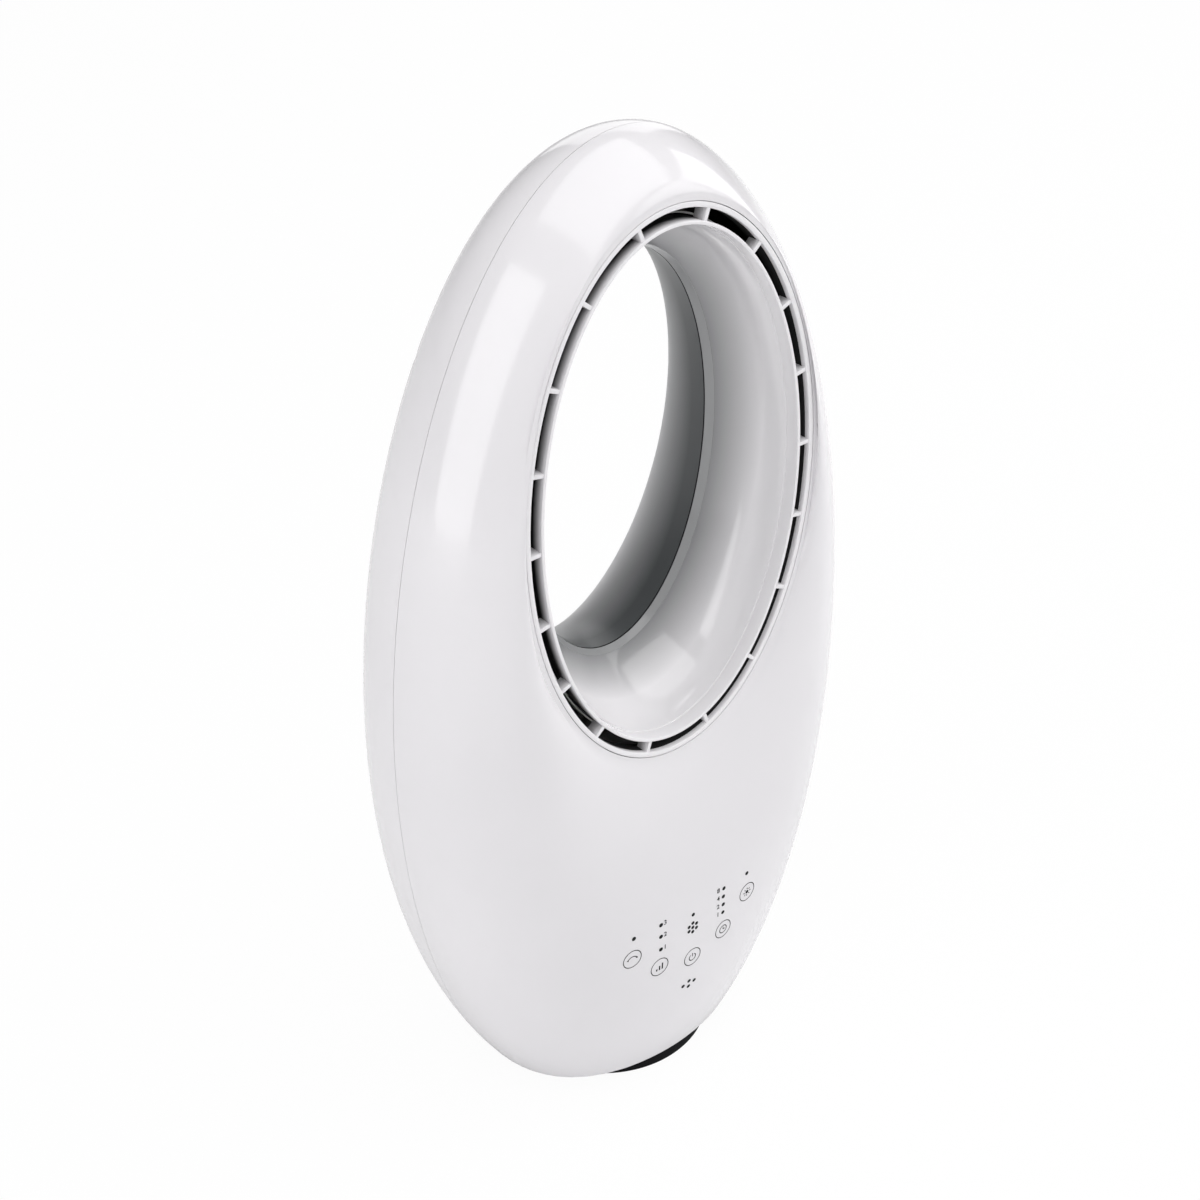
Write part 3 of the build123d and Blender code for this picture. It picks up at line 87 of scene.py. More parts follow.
# the ring leans back, and the painted shade in its slit follows its own axis
ringShape = {
    "centre": (-47.2, 368.4),
    "lean": 3.7,
    "slit": (85.9, 140.8),
    "slitWidth": 6.0,
    "outerBand": 2.8,
    "lipBand": 2.0,
    "bandDepth": 10.0,
    "lipDepth": 8.0,
    "bandShade": 3.0,
    "land": 3.0,
    "fit": 0.15,
    "shadowGap": 0.2,
    "flange": 2.4,
    "flangeThickness": 2.0,
    "round": 0.55,
    "outerRound": 0.33,
    "ease": 0.3,  # how far the middle of a rounded corner stands in
    "ribs": 18,
    "ribThickness": 2.2,
    "ribDepth": 7.5,
    "ribRecess": 0.5,
    "ribRoot": 0.6,
    "ribEdge": 0.3,
}
lean = math.radians(ringShape["lean"])
ringUp = Vector((0, math.sin(lean), math.cos(lean)))
ringBack = Vector((0, math.cos(lean), -math.sin(lean)))
ringCentre = Vector((0, *ringShape["centre"]))


# a wrapped socket, so that sums on shader values read as sums
class Sock:
    def __init__(self, paint, link):
        self.paint, self.link = paint, link

    def combine(self, operation, a, b):
        return self.paint.node("ShaderNodeMath", {"operation": operation}, {0: a, 1: b})

    def __add__(self, other):
        return self.combine("ADD", self, other)

    def __sub__(self, other):
        return self.combine("SUBTRACT", self, other)

    def __rsub__(self, other):
        return self.combine("SUBTRACT", other, self)

    def __mul__(self, other):
        return self.combine("MULTIPLY", self, other)

    __radd__ = __add__
    __rmul__ = __mul__


# a material with its shader, its output and the place that patterns follow
class Paint:
    def __init__(self, name):
        self.material = bpy.data.materials.new(name)
        self.material.use_nodes = True
        self.tree = self.material.node_tree
        self.tree.nodes.clear()
        self.shader = self.tree.nodes.new("ShaderNodeBsdfPrincipled")
        self.out = self.tree.nodes.new("ShaderNodeOutputMaterial")
        self.tree.links.new(self.shader.outputs[0], self.out.inputs["Surface"])
        self.place = self.node("ShaderNodeTexCoord", {}, {}, "Object")

    def feed(self, socket, value):
        if isinstance(value, Sock):
            self.tree.links.new(value.link, socket)
        else:
            socket.default_value = value

    def node(self, kind, settings, inputs, output=0):
        made = self.tree.nodes.new(kind)
        for key, value in settings.items():
            setattr(made, key, value)
        for key, value in inputs.items():
            self.feed(made.inputs[key], value)
        return Sock(self, made.outputs[output])

    def mapped(self, **how):
        return self.node("ShaderNodeMapping", {}, {"Vector": self.place, **how})

    def noise(self, scale, detail=2.0, stretch=None):
        place = self.mapped(Scale=stretch) if stretch else self.place
        return self.node("ShaderNodeTexNoise", {}, {"Vector": place, "Scale": scale, "Detail": detail})

    def wave(self, direction, scale, distortion):
        inputs = {"Vector": self.place, "Scale": scale, "Distortion": distortion}
        return self.node("ShaderNodeTexWave", {"wave_type": "BANDS", "bands_direction": direction}, inputs)

    def range(self, value, low, high, newLow=0.0, newHigh=1.0):
        ends = {"From Min": low, "From Max": high, "To Min": newLow, "To Max": newHigh}
        return self.node("ShaderNodeMapRange", {"clamp": True}, {"Value": value, **ends})

    def mix(self, share, a, b):
        return self.node("ShaderNodeMix", {"data_type": "RGBA"}, {0: share, 6: a, 7: b}, 2)

    def bump(self, height, strength, distance):
        inputs = {"Height": height, "Strength": strength, "Distance": distance * mm}
        self.set(Normal=self.node("ShaderNodeBump", {}, inputs))

    def set(self, **values):
        for key, value in values.items():
            self.feed(self.shader.inputs[key.replace("_", " ")], value)


def tone(colour, factor=1.0):
    return tuple(min(1.0, c * factor) for c in colour) + (1.0,)


# finishes: colour, gloss and the grain that each one shows
finishes = {
    "shellWhite": {"kind": "gloss", "colour": (0.795, 0.78, 0.802), "rough": (0.12, 0.19), "peel": 0.05},
    "ringWhite": {"kind": "gloss", "colour": (0.85, 0.836, 0.855), "rough": (0.17, 0.25), "peel": 0.04},
    # the funnel's white carries painted shade, darkening towards the band
    "funnelWhite": {
        "kind": "gloss", "colour": (0.9, 0.886, 0.905), "rough": (0.1, 0.16), "peel": 0.03,
        "coat": (0.5, 0.7), "paintedShade": (0.25, 0.255, 0.26), "shadeFade": (-25.0, -3.0),
    },
    # the duct's pale plastic with painted shade, dark towards the throat
    "ductGrey": {
        "kind": "gloss", "colour": (0.76, 0.755, 0.77), "rough": (0.3, 0.36), "peel": 0.01,
        "specular": 0.35, "coat": None, "paintedShade": (0.1, 0.107, 0.11), "shadeFade": (64.0, 10.0),
    },
    # the funnel's band, painted darker as shade deep in the tunnel
    "bandGrey": {"kind": "gloss", "colour": (0.38, 0.385, 0.39), "rough": (0.2, 0.28), "peel": 0.03},
    # the lip's outer wall, with painted shade that goes black deeper in the slit
    "slitShade": {
        "kind": "gloss", "colour": (0.80, 0.79, 0.81), "rough": (0.3, 0.4), "peel": 0.03, "specular": 0.3,
        "coat": (0.0, 0.1), "paintedShade": (0.012, 0.012, 0.013), "shadeFade": (1.2, 6.5), "slit": True,
    },
    # black painted as shade on inner faces and hidden walls
    "cavityBlack": {"kind": "matt", "colour": (0.012, 0.012, 0.013), "rough": (0.7, 0.85), "grain": 1400},
    "innerPlastic": {"kind": "matt", "colour": (0.55, 0.55, 0.545), "rough": (0.42, 0.55), "grain": 2600},
    "footBlack": {
        "kind": "matt", "colour": (0.007, 0.007, 0.008), "rough": (0.62, 0.78), "grain": 2200,
        "specular": 0.06,
    },
    "acetal": {"kind": "matt", "colour": (0.72, 0.71, 0.66), "rough": (0.3, 0.42), "grain": 1800},
    "rubberBlack": {"kind": "matt", "colour": (0.022, 0.022, 0.022), "rough": (0.6, 0.78), "grain": 3200},
    "sealGrey": {"kind": "matt", "colour": (0.05, 0.05, 0.055), "rough": (0.75, 0.9), "grain": 1500},
    "componentBlack": {"kind": "matt", "colour": (0.025, 0.025, 0.03), "rough": (0.4, 0.55), "grain": 2600},
    "impellerGrey": {"kind": "matt", "colour": (0.10, 0.105, 0.115), "rough": (0.35, 0.5), "grain": 2400},
    "diffuser": {"kind": "gloss", "colour": (0.78, 0.79, 0.76), "rough": (0.45, 0.55), "peel": 0.1},
    "ledClear": {"kind": "gloss", "colour": (0.72, 0.75, 0.78), "rough": (0.08, 0.14), "peel": 0.02},
    "ink": {
        "kind": "matt", "colour": (0.006, 0.006, 0.007), "rough": (0.5, 0.6), "grain": 5200,
        "specular": 0.2,
    },
    "steel": {"kind": "metal", "colour": (0.56, 0.57, 0.58), "rough": (0.22, 0.4), "stretch": (1, 1, 26)},
    "castIron": {"kind": "metal", "colour": (0.16, 0.16, 0.165), "rough": (0.6, 0.8), "stretch": (1, 1, 1)},
    "copperWire": {"kind": "wire", "colour": (0.72, 0.30, 0.14), "rough": (0.25, 0.4), "pitch": 1500},
    "boardGreen": {
        "kind": "board", "colour": (0.02, 0.14, 0.05), "track": (0.07, 0.26, 0.10), "rough": (0.25, 0.35),
    },
    "filterCloth": {"kind": "cloth", "colour": (0.075, 0.08, 0.085), "rough": (0.85, 0.98), "pitch": 1100},
}
middle = (0.3, 0.7)  # the part of a noise's reach that is used

glossGrain = {
    "cloud": 9, "cloudSpan": (0.35, 0.65), "shades": (0.985, 1.012), "coat": (0.25, 0.4), "coatRough": 0.05,
    "smear": 42, "smearSpan": (0.3, 0.72), "smearStretch": (1, 1, 0.4),
    "fine": 620, "ripple": 60, "rippleShare": 4.0, "height": 0.02, "ior": 1.49, "specular": 0.5,
}


def glossFinish(p, s):
    g = glossGrain
    cloud = p.noise(g["cloud"], 3)
    smear = p.noise(g["smear"], 4, g["smearStretch"])
    shades = (tone(s["colour"], shade) for shade in g["shades"])
    colour = p.mix(p.range(cloud, *g["cloudSpan"]), *shades)
    if "paintedShade" in s:  # painted shade: the colour darkens towards a dark tone deeper in the tunnel, and deeper in the slit
        depth = p.node("ShaderNodeSeparateXYZ", {}, {0: p.place}, "Y")
        if s.get("slit"):
            along = {0: p.place, 1: ringBack}
            depth = p.node("ShaderNodeVectorMath", {"operation": "DOT_PRODUCT"}, along, "Value")
            depth = depth - ringCentre.dot(ringBack) * mm
        start, end = (place * mm for place in s["shadeFade"])
        # the painted shade is mixed into the colour along that depth
        colour = p.mix(p.range(depth, start, end), colour, tone(s["paintedShade"]))
    p.set(Base_Color=colour, Roughness=p.range(smear, *g["smearSpan"], *s["rough"]))
    coat = s.get("coat", g["coat"])
    if coat:
        p.set(Coat_Weight=p.range(cloud, *middle, *coat), Coat_Roughness=g["coatRough"])
    p.set(IOR=g["ior"], Specular_IOR_Level=s.get("specular", g["specular"]))
    p.bump(p.noise(g["fine"], 2) + g["rippleShare"] * p.noise(g["ripple"], 1), s["peel"], g["height"])


mattGrain = {
    "cloud": 24, "shades": (0.92, 1.08), "cloudShare": 0.6, "strength": 0.35, "height": 0.04,
    "specular": 0.5,
}


def mattFinish(p, s):
    g = mattGrain
    grain = p.noise(s["grain"], 3)
    cloud = p.noise(g["cloud"], 3)
    p.set(Base_Color=p.mix(p.range(cloud, *middle), *(tone(s["colour"], shade) for shade in g["shades"])))
    p.set(Roughness=p.range(grain, *middle, *s["rough"]))
    p.set(Specular_IOR_Level=s.get("specular", g["specular"]))
    p.bump(grain + g["cloudShare"] * cloud, g["strength"], g["height"])


metalGrain = {
    "streak": 260, "streakSpan": (0.25, 0.75), "stain": 38, "stainSpan": (0.3, 0.75), "shades": (0.82, 1.1),
    "metal": 0.9, "fine": 900, "fineShare": 0.8, "strength": 0.3, "height": 0.03,
}


def metalFinish(p, s):
    g = metalGrain
    streak = p.noise(g["streak"], 4, s["stretch"])
    stain = p.range(p.noise(g["stain"], 3), *g["stainSpan"])
    p.set(Base_Color=p.mix(stain, *(tone(s["colour"], shade) for shade in g["shades"])))
    p.set(Roughness=p.range(streak, *g["streakSpan"], *s["rough"]), Metallic=g["metal"])
    p.bump(streak + g["fineShare"] * p.noise(g["fine"], 2), g["strength"], g["height"])


waveShare = 6.3  # a wave texture's scale is the pitch divided by this
wireGrain = {"wobble": 1.5, "shades": (0.55, 1.05), "metal": 0.85, "strength": 0.6, "height": 0.1}


def wireFinish(p, s):
    g = wireGrain
    turns = p.wave("Z", s["pitch"] / waveShare, g["wobble"])
    p.set(Base_Color=p.mix(turns, *(tone(s["colour"], shade) for shade in g["shades"])))
    p.set(Roughness=p.range(turns, 0, 1, *s["rough"]), Metallic=g["metal"])
    p.bump(turns, g["strength"], g["height"])


boardGrain = {
    "tracks": {"Scale": 170, "Mortar Size": 0.035, "Mortar Smooth": 0.2}, "offset": 0.35,
    "cloud": 300, "fine": 1200, "fineShare": 0.2, "strength": 0.3, "height": 0.05,
}


def boardFinish(p, s):
    g = boardGrain
    upright = p.mapped(Rotation=(math.pi / 2, 0, 0))
    inputs = {"Vector": upright, **g["tracks"]}
    tracks = p.node("ShaderNodeTexBrick", {"offset": g["offset"]}, inputs, "Fac")
    p.set(Base_Color=p.mix(tracks, tone(s["colour"]), tone(s["track"])))
    p.set(Roughness=p.range(p.noise(g["cloud"]), *middle, *s["rough"]))
    p.bump(tracks + g["fineShare"] * p.noise(g["fine"]), g["strength"], g["height"])


clothGrain = {
    "wobble": 0.6, "shades": (0.5, 1.3), "dust": 70, "dustShare": 0.3, "strength": 0.8, "height": 0.2,
}


def clothFinish(p, s):
    g = clothGrain
    warp, weft = (p.wave(direction, s["pitch"] / waveShare, g["wobble"]) for direction in "XZ")
    weave = warp * weft
    dust = p.noise(g["dust"], 5)
    p.set(Base_Color=p.mix(weave, *(tone(s["colour"], shade) for shade in g["shades"])))
    p.set(Roughness=p.range(dust, *middle, *s["rough"]))
    p.bump(weave + g["dustShare"] * dust, g["strength"], g["height"])


kinds = {
    "gloss": glossFinish,
    "matt": mattFinish,
    "metal": metalFinish,
    "wire": wireFinish,
    "board": boardFinish,
    "cloth": clothFinish,
}
paints = {}
for name, settings in finishes.items():
    paint = Paint(name)
    kinds[settings["kind"]](paint, settings)
    paints[name] = paint.material
print("finishes mixed:", len(paints))

# every node that stays in view or inside keeps its own solid and gets its finish
slotFinish = {
    "shell_white": "shellWhite",
    "inner_plastic": "innerPlastic",
    "foot_black": "footBlack",
    "acetal": "acetal",
    "rubber_black": "rubberBlack",
    "seal_grey": "sealGrey",
    "steel": "steel",
    "iron": "castIron",
    "copper_wire": "copperWire",
    "impeller_grey": "impellerGrey",
    "board_green": "boardGreen",
    "component_black": "componentBlack",
    "led_clear": "ledClear",
    "diffuser": "diffuser",
    "filter_fabric": "filterCloth",
}
for part in frame["record"]["subparts"]:
    for place in frame["nodes"][part["node"]].material_slots:
        place.link = "OBJECT"
        place.material = paints[slotFinish[part["material_slot"]]]

# the body's lines, as in the solids
bodyShape = {
    "top": 540.0,
    "halfHeight": 292.7,
    "halfWidth": 137.7,
    "cut": 10.3,
    "wall": 2.5,
    "gap": 0.3,
    "frontCrown": 14.0,
    "frontBelly": 100.0,
    "bellyRise": (21.8, 55.9),
    "frontFall": 9.3,
    "frontCheek": 85.8,
    "rearCrown": 14.0,
    "rearBelly": 93.0,
    "rearRise": 90.0,
    "rearFall": 13.3,
    "rearCheek": 109.7,
    "rimTop": (34.3, 514.8),
    "rimBottom": (66.3, 208.5),
    "rimHalfWidth": 89.1,
    "rimLand": 0.8,
    "edge": 0.45,
    "paleRows": 9,  # rows of inner faces behind the ring that keep the white instead of the painted shade
    "segments": 192,
    "stations": 34,
    "weld": 0.01,  # corners nearer than this become one
}
ductShape = {
    "bandCentre": 369.3,
    "band": (63.3, 114.5),
    "throat": (60.1, 112.3),
    "seal": 0.8,
    "sealInset": 0.5,
    "bandLength": 4.0,
    "entry": 42.8,
    "flare": 0.8,
    "roll": (9.3, 17.1, 7.9),
    "funnelWall": 2.2,
    "funnelStep": 0.5,
    "funnelEntry": 17.0,
    "funnelExit": (7.0, 7.0),
    "funnelEdge": 0.3,
    "funnelSharp": 14,
    "bead": 0.35,
    "stations": 22,
}


def grown(outline, amount):
    return (outline[0] + amount, outline[1] + amount)


slitOuter = grown(ringShape["slit"], ringShape["slitWidth"] / 2)
slitInner = grown(ringShape["slit"], -ringShape["slitWidth"] / 2)
ringOuter = grown(slitOuter, ringShape["outerBand"])
lipInner = grown(slitInner, -ringShape["lipBand"])
land = grown(ringOuter, ringShape["land"])


def bezier(points, t):
    a, b, c, d = points
    return a * (1 - t) ** 3 + b * (3 * t * (1 - t) ** 2) + c * (3 * t * t * (1 - t)) + d * t**3


# a station is an upright ellipse: its top, its bottom and half its width
def stations(topLine, bottomLine, widthLine, count):
    steps = [i / (count - 1) for i in range(count)]
    return [tuple(bezier(line, t) for line in (topLine, bottomLine, widthLine)) for t in steps]


def crownAndHeel(inset):
    crown = Vector((0, 0, bodyShape["top"] - inset))
    heel = Vector((0, 0, bodyShape["top"] - 2 * bodyShape["halfHeight"] + inset))
    return crown, heel


def frontStations(inset=0.0):
    s = bodyShape
    crown, heel = crownAndHeel(inset)
    ringMiddle = ringCentre + ringBack * inset
    ringTop, ringBottom = ringMiddle + ringUp * land[1], ringMiddle - ringUp * land[1]
    fall = Vector((0, 0, s["frontFall"] - inset / 2))
    rise = Vector((0, *s["bellyRise"]))
    width = s["halfWidth"] - inset
    return stations(
        (crown, crown - Vector((0, s["frontCrown"], 0)), ringTop + fall, ringTop),
        (heel, heel - Vector((0, s["frontBelly"] - inset, 0)), ringBottom - rise, ringBottom),
        (width, width, s["frontCheek"], land[0]),
        s["stations"],
    )


rimTop, rimBottom = Vector((0, *bodyShape["rimTop"])), Vector((0, *bodyShape["rimBottom"]))
rimUp = (rimTop - rimBottom).normalized()
rimBack = Vector((0, rimUp.z, -rimUp.y))


def rearStations(inset=0.0):
    s = bodyShape
    crown, heel = crownAndHeel(inset)
    top = rimTop + rimUp * s["rimLand"] - rimBack * inset
    bottom = rimBottom - rimUp * s["rimLand"] - rimBack * inset
    fall = Vector((0, 0, s["rearFall"] - inset / 2))
    rise = Vector((0, 0, s["rearRise"]))
    width = s["halfWidth"] - inset
    return stations(
        (crown, crown + Vector((0, s["rearCrown"], 0)), top + fall, top),
        (heel, heel + Vector((0, s["rearBelly"] - inset, 0)), bottom - rise, bottom),
        (width, width, s["rearCheek"], s["rimHalfWidth"] + s["rimLand"]),
        s["stations"],
    )


def ductStations(outset=0.0):
    s, d = bodyShape, ductShape
    top = rimTop - rimUp * s["rimLand"] - rimBack * outset
    bottom = rimBottom + rimUp * s["rimLand"] - rimBack * outset
    startTop = Vector((0, d["seal"] / 2, d["bandCentre"] + d["throat"][1] + outset))
    startBottom = Vector((0, d["seal"] / 2, d["bandCentre"] - d["throat"][1] - outset))
    entry = Vector((0, d["entry"] - outset, 0))
    rollTop, rollBottom, rollSide = d["roll"]
    width, endWidth = d["throat"][0] + outset, s["rimHalfWidth"] - s["rimLand"]
    return stations(
        (startTop, startTop + entry, top - Vector((0, 0, rollTop)), top),
        (startBottom, startBottom + entry, bottom + Vector((0, 0, rollBottom)), bottom),
        (width, width + d["flare"], endWidth - rollSide + outset, endWidth),
        d["stations"],
    )


def funnelStations(outset=0.0):
    d = ductShape
    start = ringCentre + ringBack * ringShape["lipDepth"]
    mouth = grown(lipInner, outset - d["funnelStep"])
    mouthTop, mouthBottom = start + ringUp * mouth[1], start - ringUp * mouth[1]
    endY = -d["seal"] / 2 - d["bandLength"]
    endTop = Vector((0, endY, d["bandCentre"] + d["band"][1] + outset))
    endBottom = Vector((0, endY, d["bandCentre"] - d["band"][1] - outset))
    forwards, outwards = d["funnelExit"]
    entry = ringBack * d["funnelEntry"]
    endWidth = d["band"][0] + outset
    return stations(
        (mouthTop, mouthTop + entry, endTop + Vector((0, -forwards, outwards)), endTop),
        (mouthBottom, mouthBottom + entry, endBottom + Vector((0, -forwards, -outwards)), endBottom),
        (mouth[0], mouth[0], endWidth + outwards, endWidth),
        d["stations"],
    )


def ringStation(outline, depth):
    place = ringCentre + ringBack * depth
    return (place + ringUp * outline[1], place - ringUp * outline[1], outline[0])


def uprightStation(outline, y, centreZ):
    return (Vector((0, y, centreZ + outline[1])), Vector((0, y, centreZ - outline[1])), outline[0])


def moved(station, y):
    top, bottom, width = station
    return (top + Vector((0, y, 0)), bottom + Vector((0, y, 0)), width)


def stationMatrix(station):
    top, bottom, halfWidth = (value * mm for value in station)
    up = top - bottom
    facing = Vector((0, -up.z, up.y)).normalized()
    across = Vector((halfWidth, 0, 0))
    turn = Matrix((across, up / 2, facing)).transposed().to_4x4()
    return Matrix.Translation((top + bottom) / 2) @ turn


def edgesOf(verts):
    # each edge once, in the same order every time
    return list(dict.fromkeys(edge for vert in verts for edge in vert.link_edges))


def addTube(bm, rows, bands=()):
    # an ellipse that is extruded from row to row and closes on its start;
    # a band (first, last, slot) gives the faces between two rows another finish
    places = [stationMatrix(row) for row in rows]
    circle = bmesh.ops.create_circle(bm, segments=bodyShape["segments"], radius=1, matrix=places[0])
    edges = edgesOf(circle["verts"])
    for row, (before, after) in enumerate(zip(places, places[1:] + places[:1])):
        made = bmesh.ops.extrude_edge_only(bm, edges=edges)["geom"]
        ring = [part for part in made if isinstance(part, bmesh.types.BMVert)]
        edges = [part for part in made if isinstance(part, bmesh.types.BMEdge)]
        slot = max([number for first, last, number in bands if first <= row < last], default=0)
        for face in (part for part in made if isinstance(part, bmesh.types.BMFace)):
            face.material_index = slot
        bmesh.ops.transform(bm, matrix=after @ before.inverted(), verts=ring)
    bmesh.ops.remove_doubles(bm, verts=bm.verts, dist=bodyShape["weld"] * mm)


def addPiece(bm, name, finish, body, replaces=(), sharp=38, bevel=0.0, flip=True):
    if flip:
        bmesh.ops.recalc_face_normals(bm, faces=bm.faces)
    mesh = bpy.data.meshes.new(name)
    bm.to_mesh(mesh)
    bm.free()
    return dressPiece(mesh, name, finish, body, replaces, sharp, bevel)


def dressPiece(mesh, name, finish, body, replaces=(), sharp=38, bevel=0.0):
    # a finish may name several materials, one for each slot of the faces
    slots = [face.material_index for face in mesh.polygons]
    mesh.materials.clear()
    for each in finish.split():
        mesh.materials.append(paints[each])
    for face, index in zip(mesh.polygons, slots):
        face.material_index = index
    angle = math.radians(sharp)
    mesh.shade_smooth()
    mesh.set_sharp_from_angle(angle=angle)
    piece = newObject(name, mesh)
    if bevel:
        edge = piece.modifiers.new("edge", "BEVEL")
        edge.width, edge.segments = bevel * mm, 2
        edge.limit_method, edge.angle_limit = "ANGLE", angle
        edge.harden_normals = True
    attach(piece, body)
    if replaces:
        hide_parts(*replaces)
    return piece


def everything(bm):
    return bm.verts[:] + bm.edges[:] + bm.faces[:]


def cutFoot(bm):
    level = (0, 0, bodyShape["cut"] * mm)
    bmesh.ops.bisect_plane(bm, geom=everything(bm), plane_co=level, plane_no=(0, 0, 1), clear_inner=True)
    bmesh.ops.holes_fill(bm, edges=[edge for edge in bm.edges if edge.is_boundary], sides=0)


def shellRows(makeStations, shift):
    outer, inner = makeStations(), makeStations(bodyShape["wall"])
    outer[0], inner[0] = moved(outer[0], shift), moved(inner[0], shift)
    return outer, inner[::-1]


# front shell: outer skin, the flat round the ring, and the inner skin
halfGap = bodyShape["gap"] / 2
outer, inner = shellRows(frontStations, -halfGap)
seat = grown(ringOuter, ringShape["fit"] + ringShape["shadowGap"])
rows = outer + [ringStation(seat, 0), ringStation(seat, bodyShape["wall"])] + inner
bm = bmesh.new()
addTube(bm, rows, [(len(outer) + bodyShape["paleRows"], len(rows) - 1, 1)])
cutFoot(bm)
frontFinish = "shellWhite cavityBlack"  # painted shade inside, but pale round the ring
frontShell = addPiece(
    bm, "frontShell", frontFinish, "head", ("front_shell",), bevel=bodyShape["edge"]
)
print("front shell:", len(frontShell.data.polygons), "faces")

# rear shell: outer skin, rolled rim, duct, and their inner faces
wellSet = {
    "places": ((66.0, 46.0), (113.0, 214.0), (90.5, 440.0)),
    "bore": 4.0,
    "outside": 4.7,
    "floor": 4.0,
    "cutFrom": -9,  # from the skin
    "cutTo": 12,
    "tubeTo": 14,
    "rimInset": 1.2,
}
rearCuts = {
    "grille": 62.25,
    "grilleFrom": 59.5,
    "grilleFacets": 160,
    "blowerZ": 124.0,
    "inlet": 4.45,
    "inletFrom": 55,
    "inletZ": 34.0,
    "outTo": 90,
}
fromBehind, fromFront = 0.2, -0.3  # metres; rays that look for the skin start there
# painted shade on the duct, and painted shade black on the inside faces
rearFinish = "shellWhite ductGrey cavityBlack"
outer, inner = shellRows(rearStations, halfGap)
ductSkin = ductStations()[::-1]
rows = outer + ductSkin + ductStations(bodyShape["wall"]) + inner
ductStart, ductEnd = len(outer), len(outer) + len(ductSkin) - 1
bm = bmesh.new()
addTube(bm, rows, [(ductStart, ductEnd, 1), (ductEnd, len(rows) - 1, 2)])
cutFoot(bm)
bmesh.ops.recalc_face_normals(bm, faces=bm.faces)
rearTree = BVHTree.FromBMesh(bm)


def skinAt(tree, x, z, fromY):
    ray = Vector((0, -1 if fromY > 0 else 1, 0))
    hit, normal, _, _ = tree.ray_cast(Vector((x * mm, fromY, z * mm)), ray)
    return hit, normal


def barrel(bm, x, z, y0, y1, radius, facets=64):
    centre = Vector((x * mm, (y0 + y1) / 2 * mm, z * mm))
    place = Matrix.Translation(centre) @ Matrix.Rotation(math.pi / 2, 4, "X")
    ends = {"radius1": radius * mm, "radius2": radius * mm, "depth": (y1 - y0) * mm}
    bmesh.ops.create_cone(bm, cap_ends=True, segments=facets, matrix=place, **ends)


wells = [(side * x, z) for x, z in wellSet["places"] for side in (-1, 1)]
cutter = bmesh.new()
grilleHole = (rearCuts["blowerZ"], rearCuts["grilleFrom"], rearCuts["outTo"], rearCuts["grille"])
barrel(cutter, 0, *grilleHole, rearCuts["grilleFacets"])
barrel(cutter, 0, rearCuts["inletZ"], rearCuts["inletFrom"], rearCuts["outTo"], rearCuts["inlet"])
for x, z in wells:
    skinY = skinAt(rearTree, x, z, fromBehind)[0].y / mm
    barrel(cutter, x, z, skinY + wellSet["cutFrom"], skinY + wellSet["cutTo"], wellSet["bore"])


def carve(bm, cutter, finish):
    body, tool = bpy.data.meshes.new("body"), bpy.data.meshes.new("tool")
    bm.to_mesh(body)
    cutter.to_mesh(tool)
    bm.free()
    cutter.free()
    for name in finish.split():
        body.materials.append(paints[name])
    tool.materials.append(body.materials[0])
    work, knife = newObject("work", body), newObject("knife", tool)
    cut = work.modifiers.new("cut", "BOOLEAN")
    cut.operation, cut.solver, cut.object = "DIFFERENCE", "EXACT", knife
    carved = bpy.data.meshes.new_from_object(work.evaluated_get(bpy.context.evaluated_depsgraph_get()))
    for each in (work, knife):
        bpy.data.objects.remove(each)
    return carved


carved = carve(bm, cutter, rearFinish)
rearShell = dressPiece(
    carved, "rearShell", rearFinish, "head", ("rear_shell",), bevel=bodyShape["edge"]
)
print("rear shell:", len(rearShell.data.polygons), "faces")

# screw wells: thin tubes from the wall down to their floors
bm = bmesh.new()
for x, z in wells:
    hit, normal = skinAt(rearTree, x, z, fromBehind)
    tube = bmesh.new()
    for radius in (wellSet["bore"], wellSet["outside"]):
        barrel(tube, x, z, wellSet["floor"], hit.y / mm + wellSet["tubeTo"], radius)
    caps = [face for face in tube.faces if len(face.verts) > 4]
    bmesh.ops.delete(tube, geom=caps, context="FACES_ONLY")
    plane = {"plane_co": hit - normal * wellSet["rimInset"] * mm, "plane_no": normal}
    bmesh.ops.bisect_plane(tube, geom=everything(tube), clear_outer=True, **plane)
    floorY = wellSet["floor"] * mm + 1e-6  # a hair above the well's floor
    rims = [edge for edge in tube.edges if edge.is_boundary]
    low = [edge for edge in rims if all(vert.co.y < floorY for vert in edge.verts)]
    high = [edge for edge in rims if edge not in low]
    for rim in (low, high):
        bmesh.ops.bridge_loops(tube, edges=rim)
    part = bpy.data.meshes.new("tube")
    tube.to_mesh(part)
    tube.free()
    bm.from_mesh(part)
    bpy.data.meshes.remove(part)
addPiece(bm, "screwWells", "innerPlastic", "head")

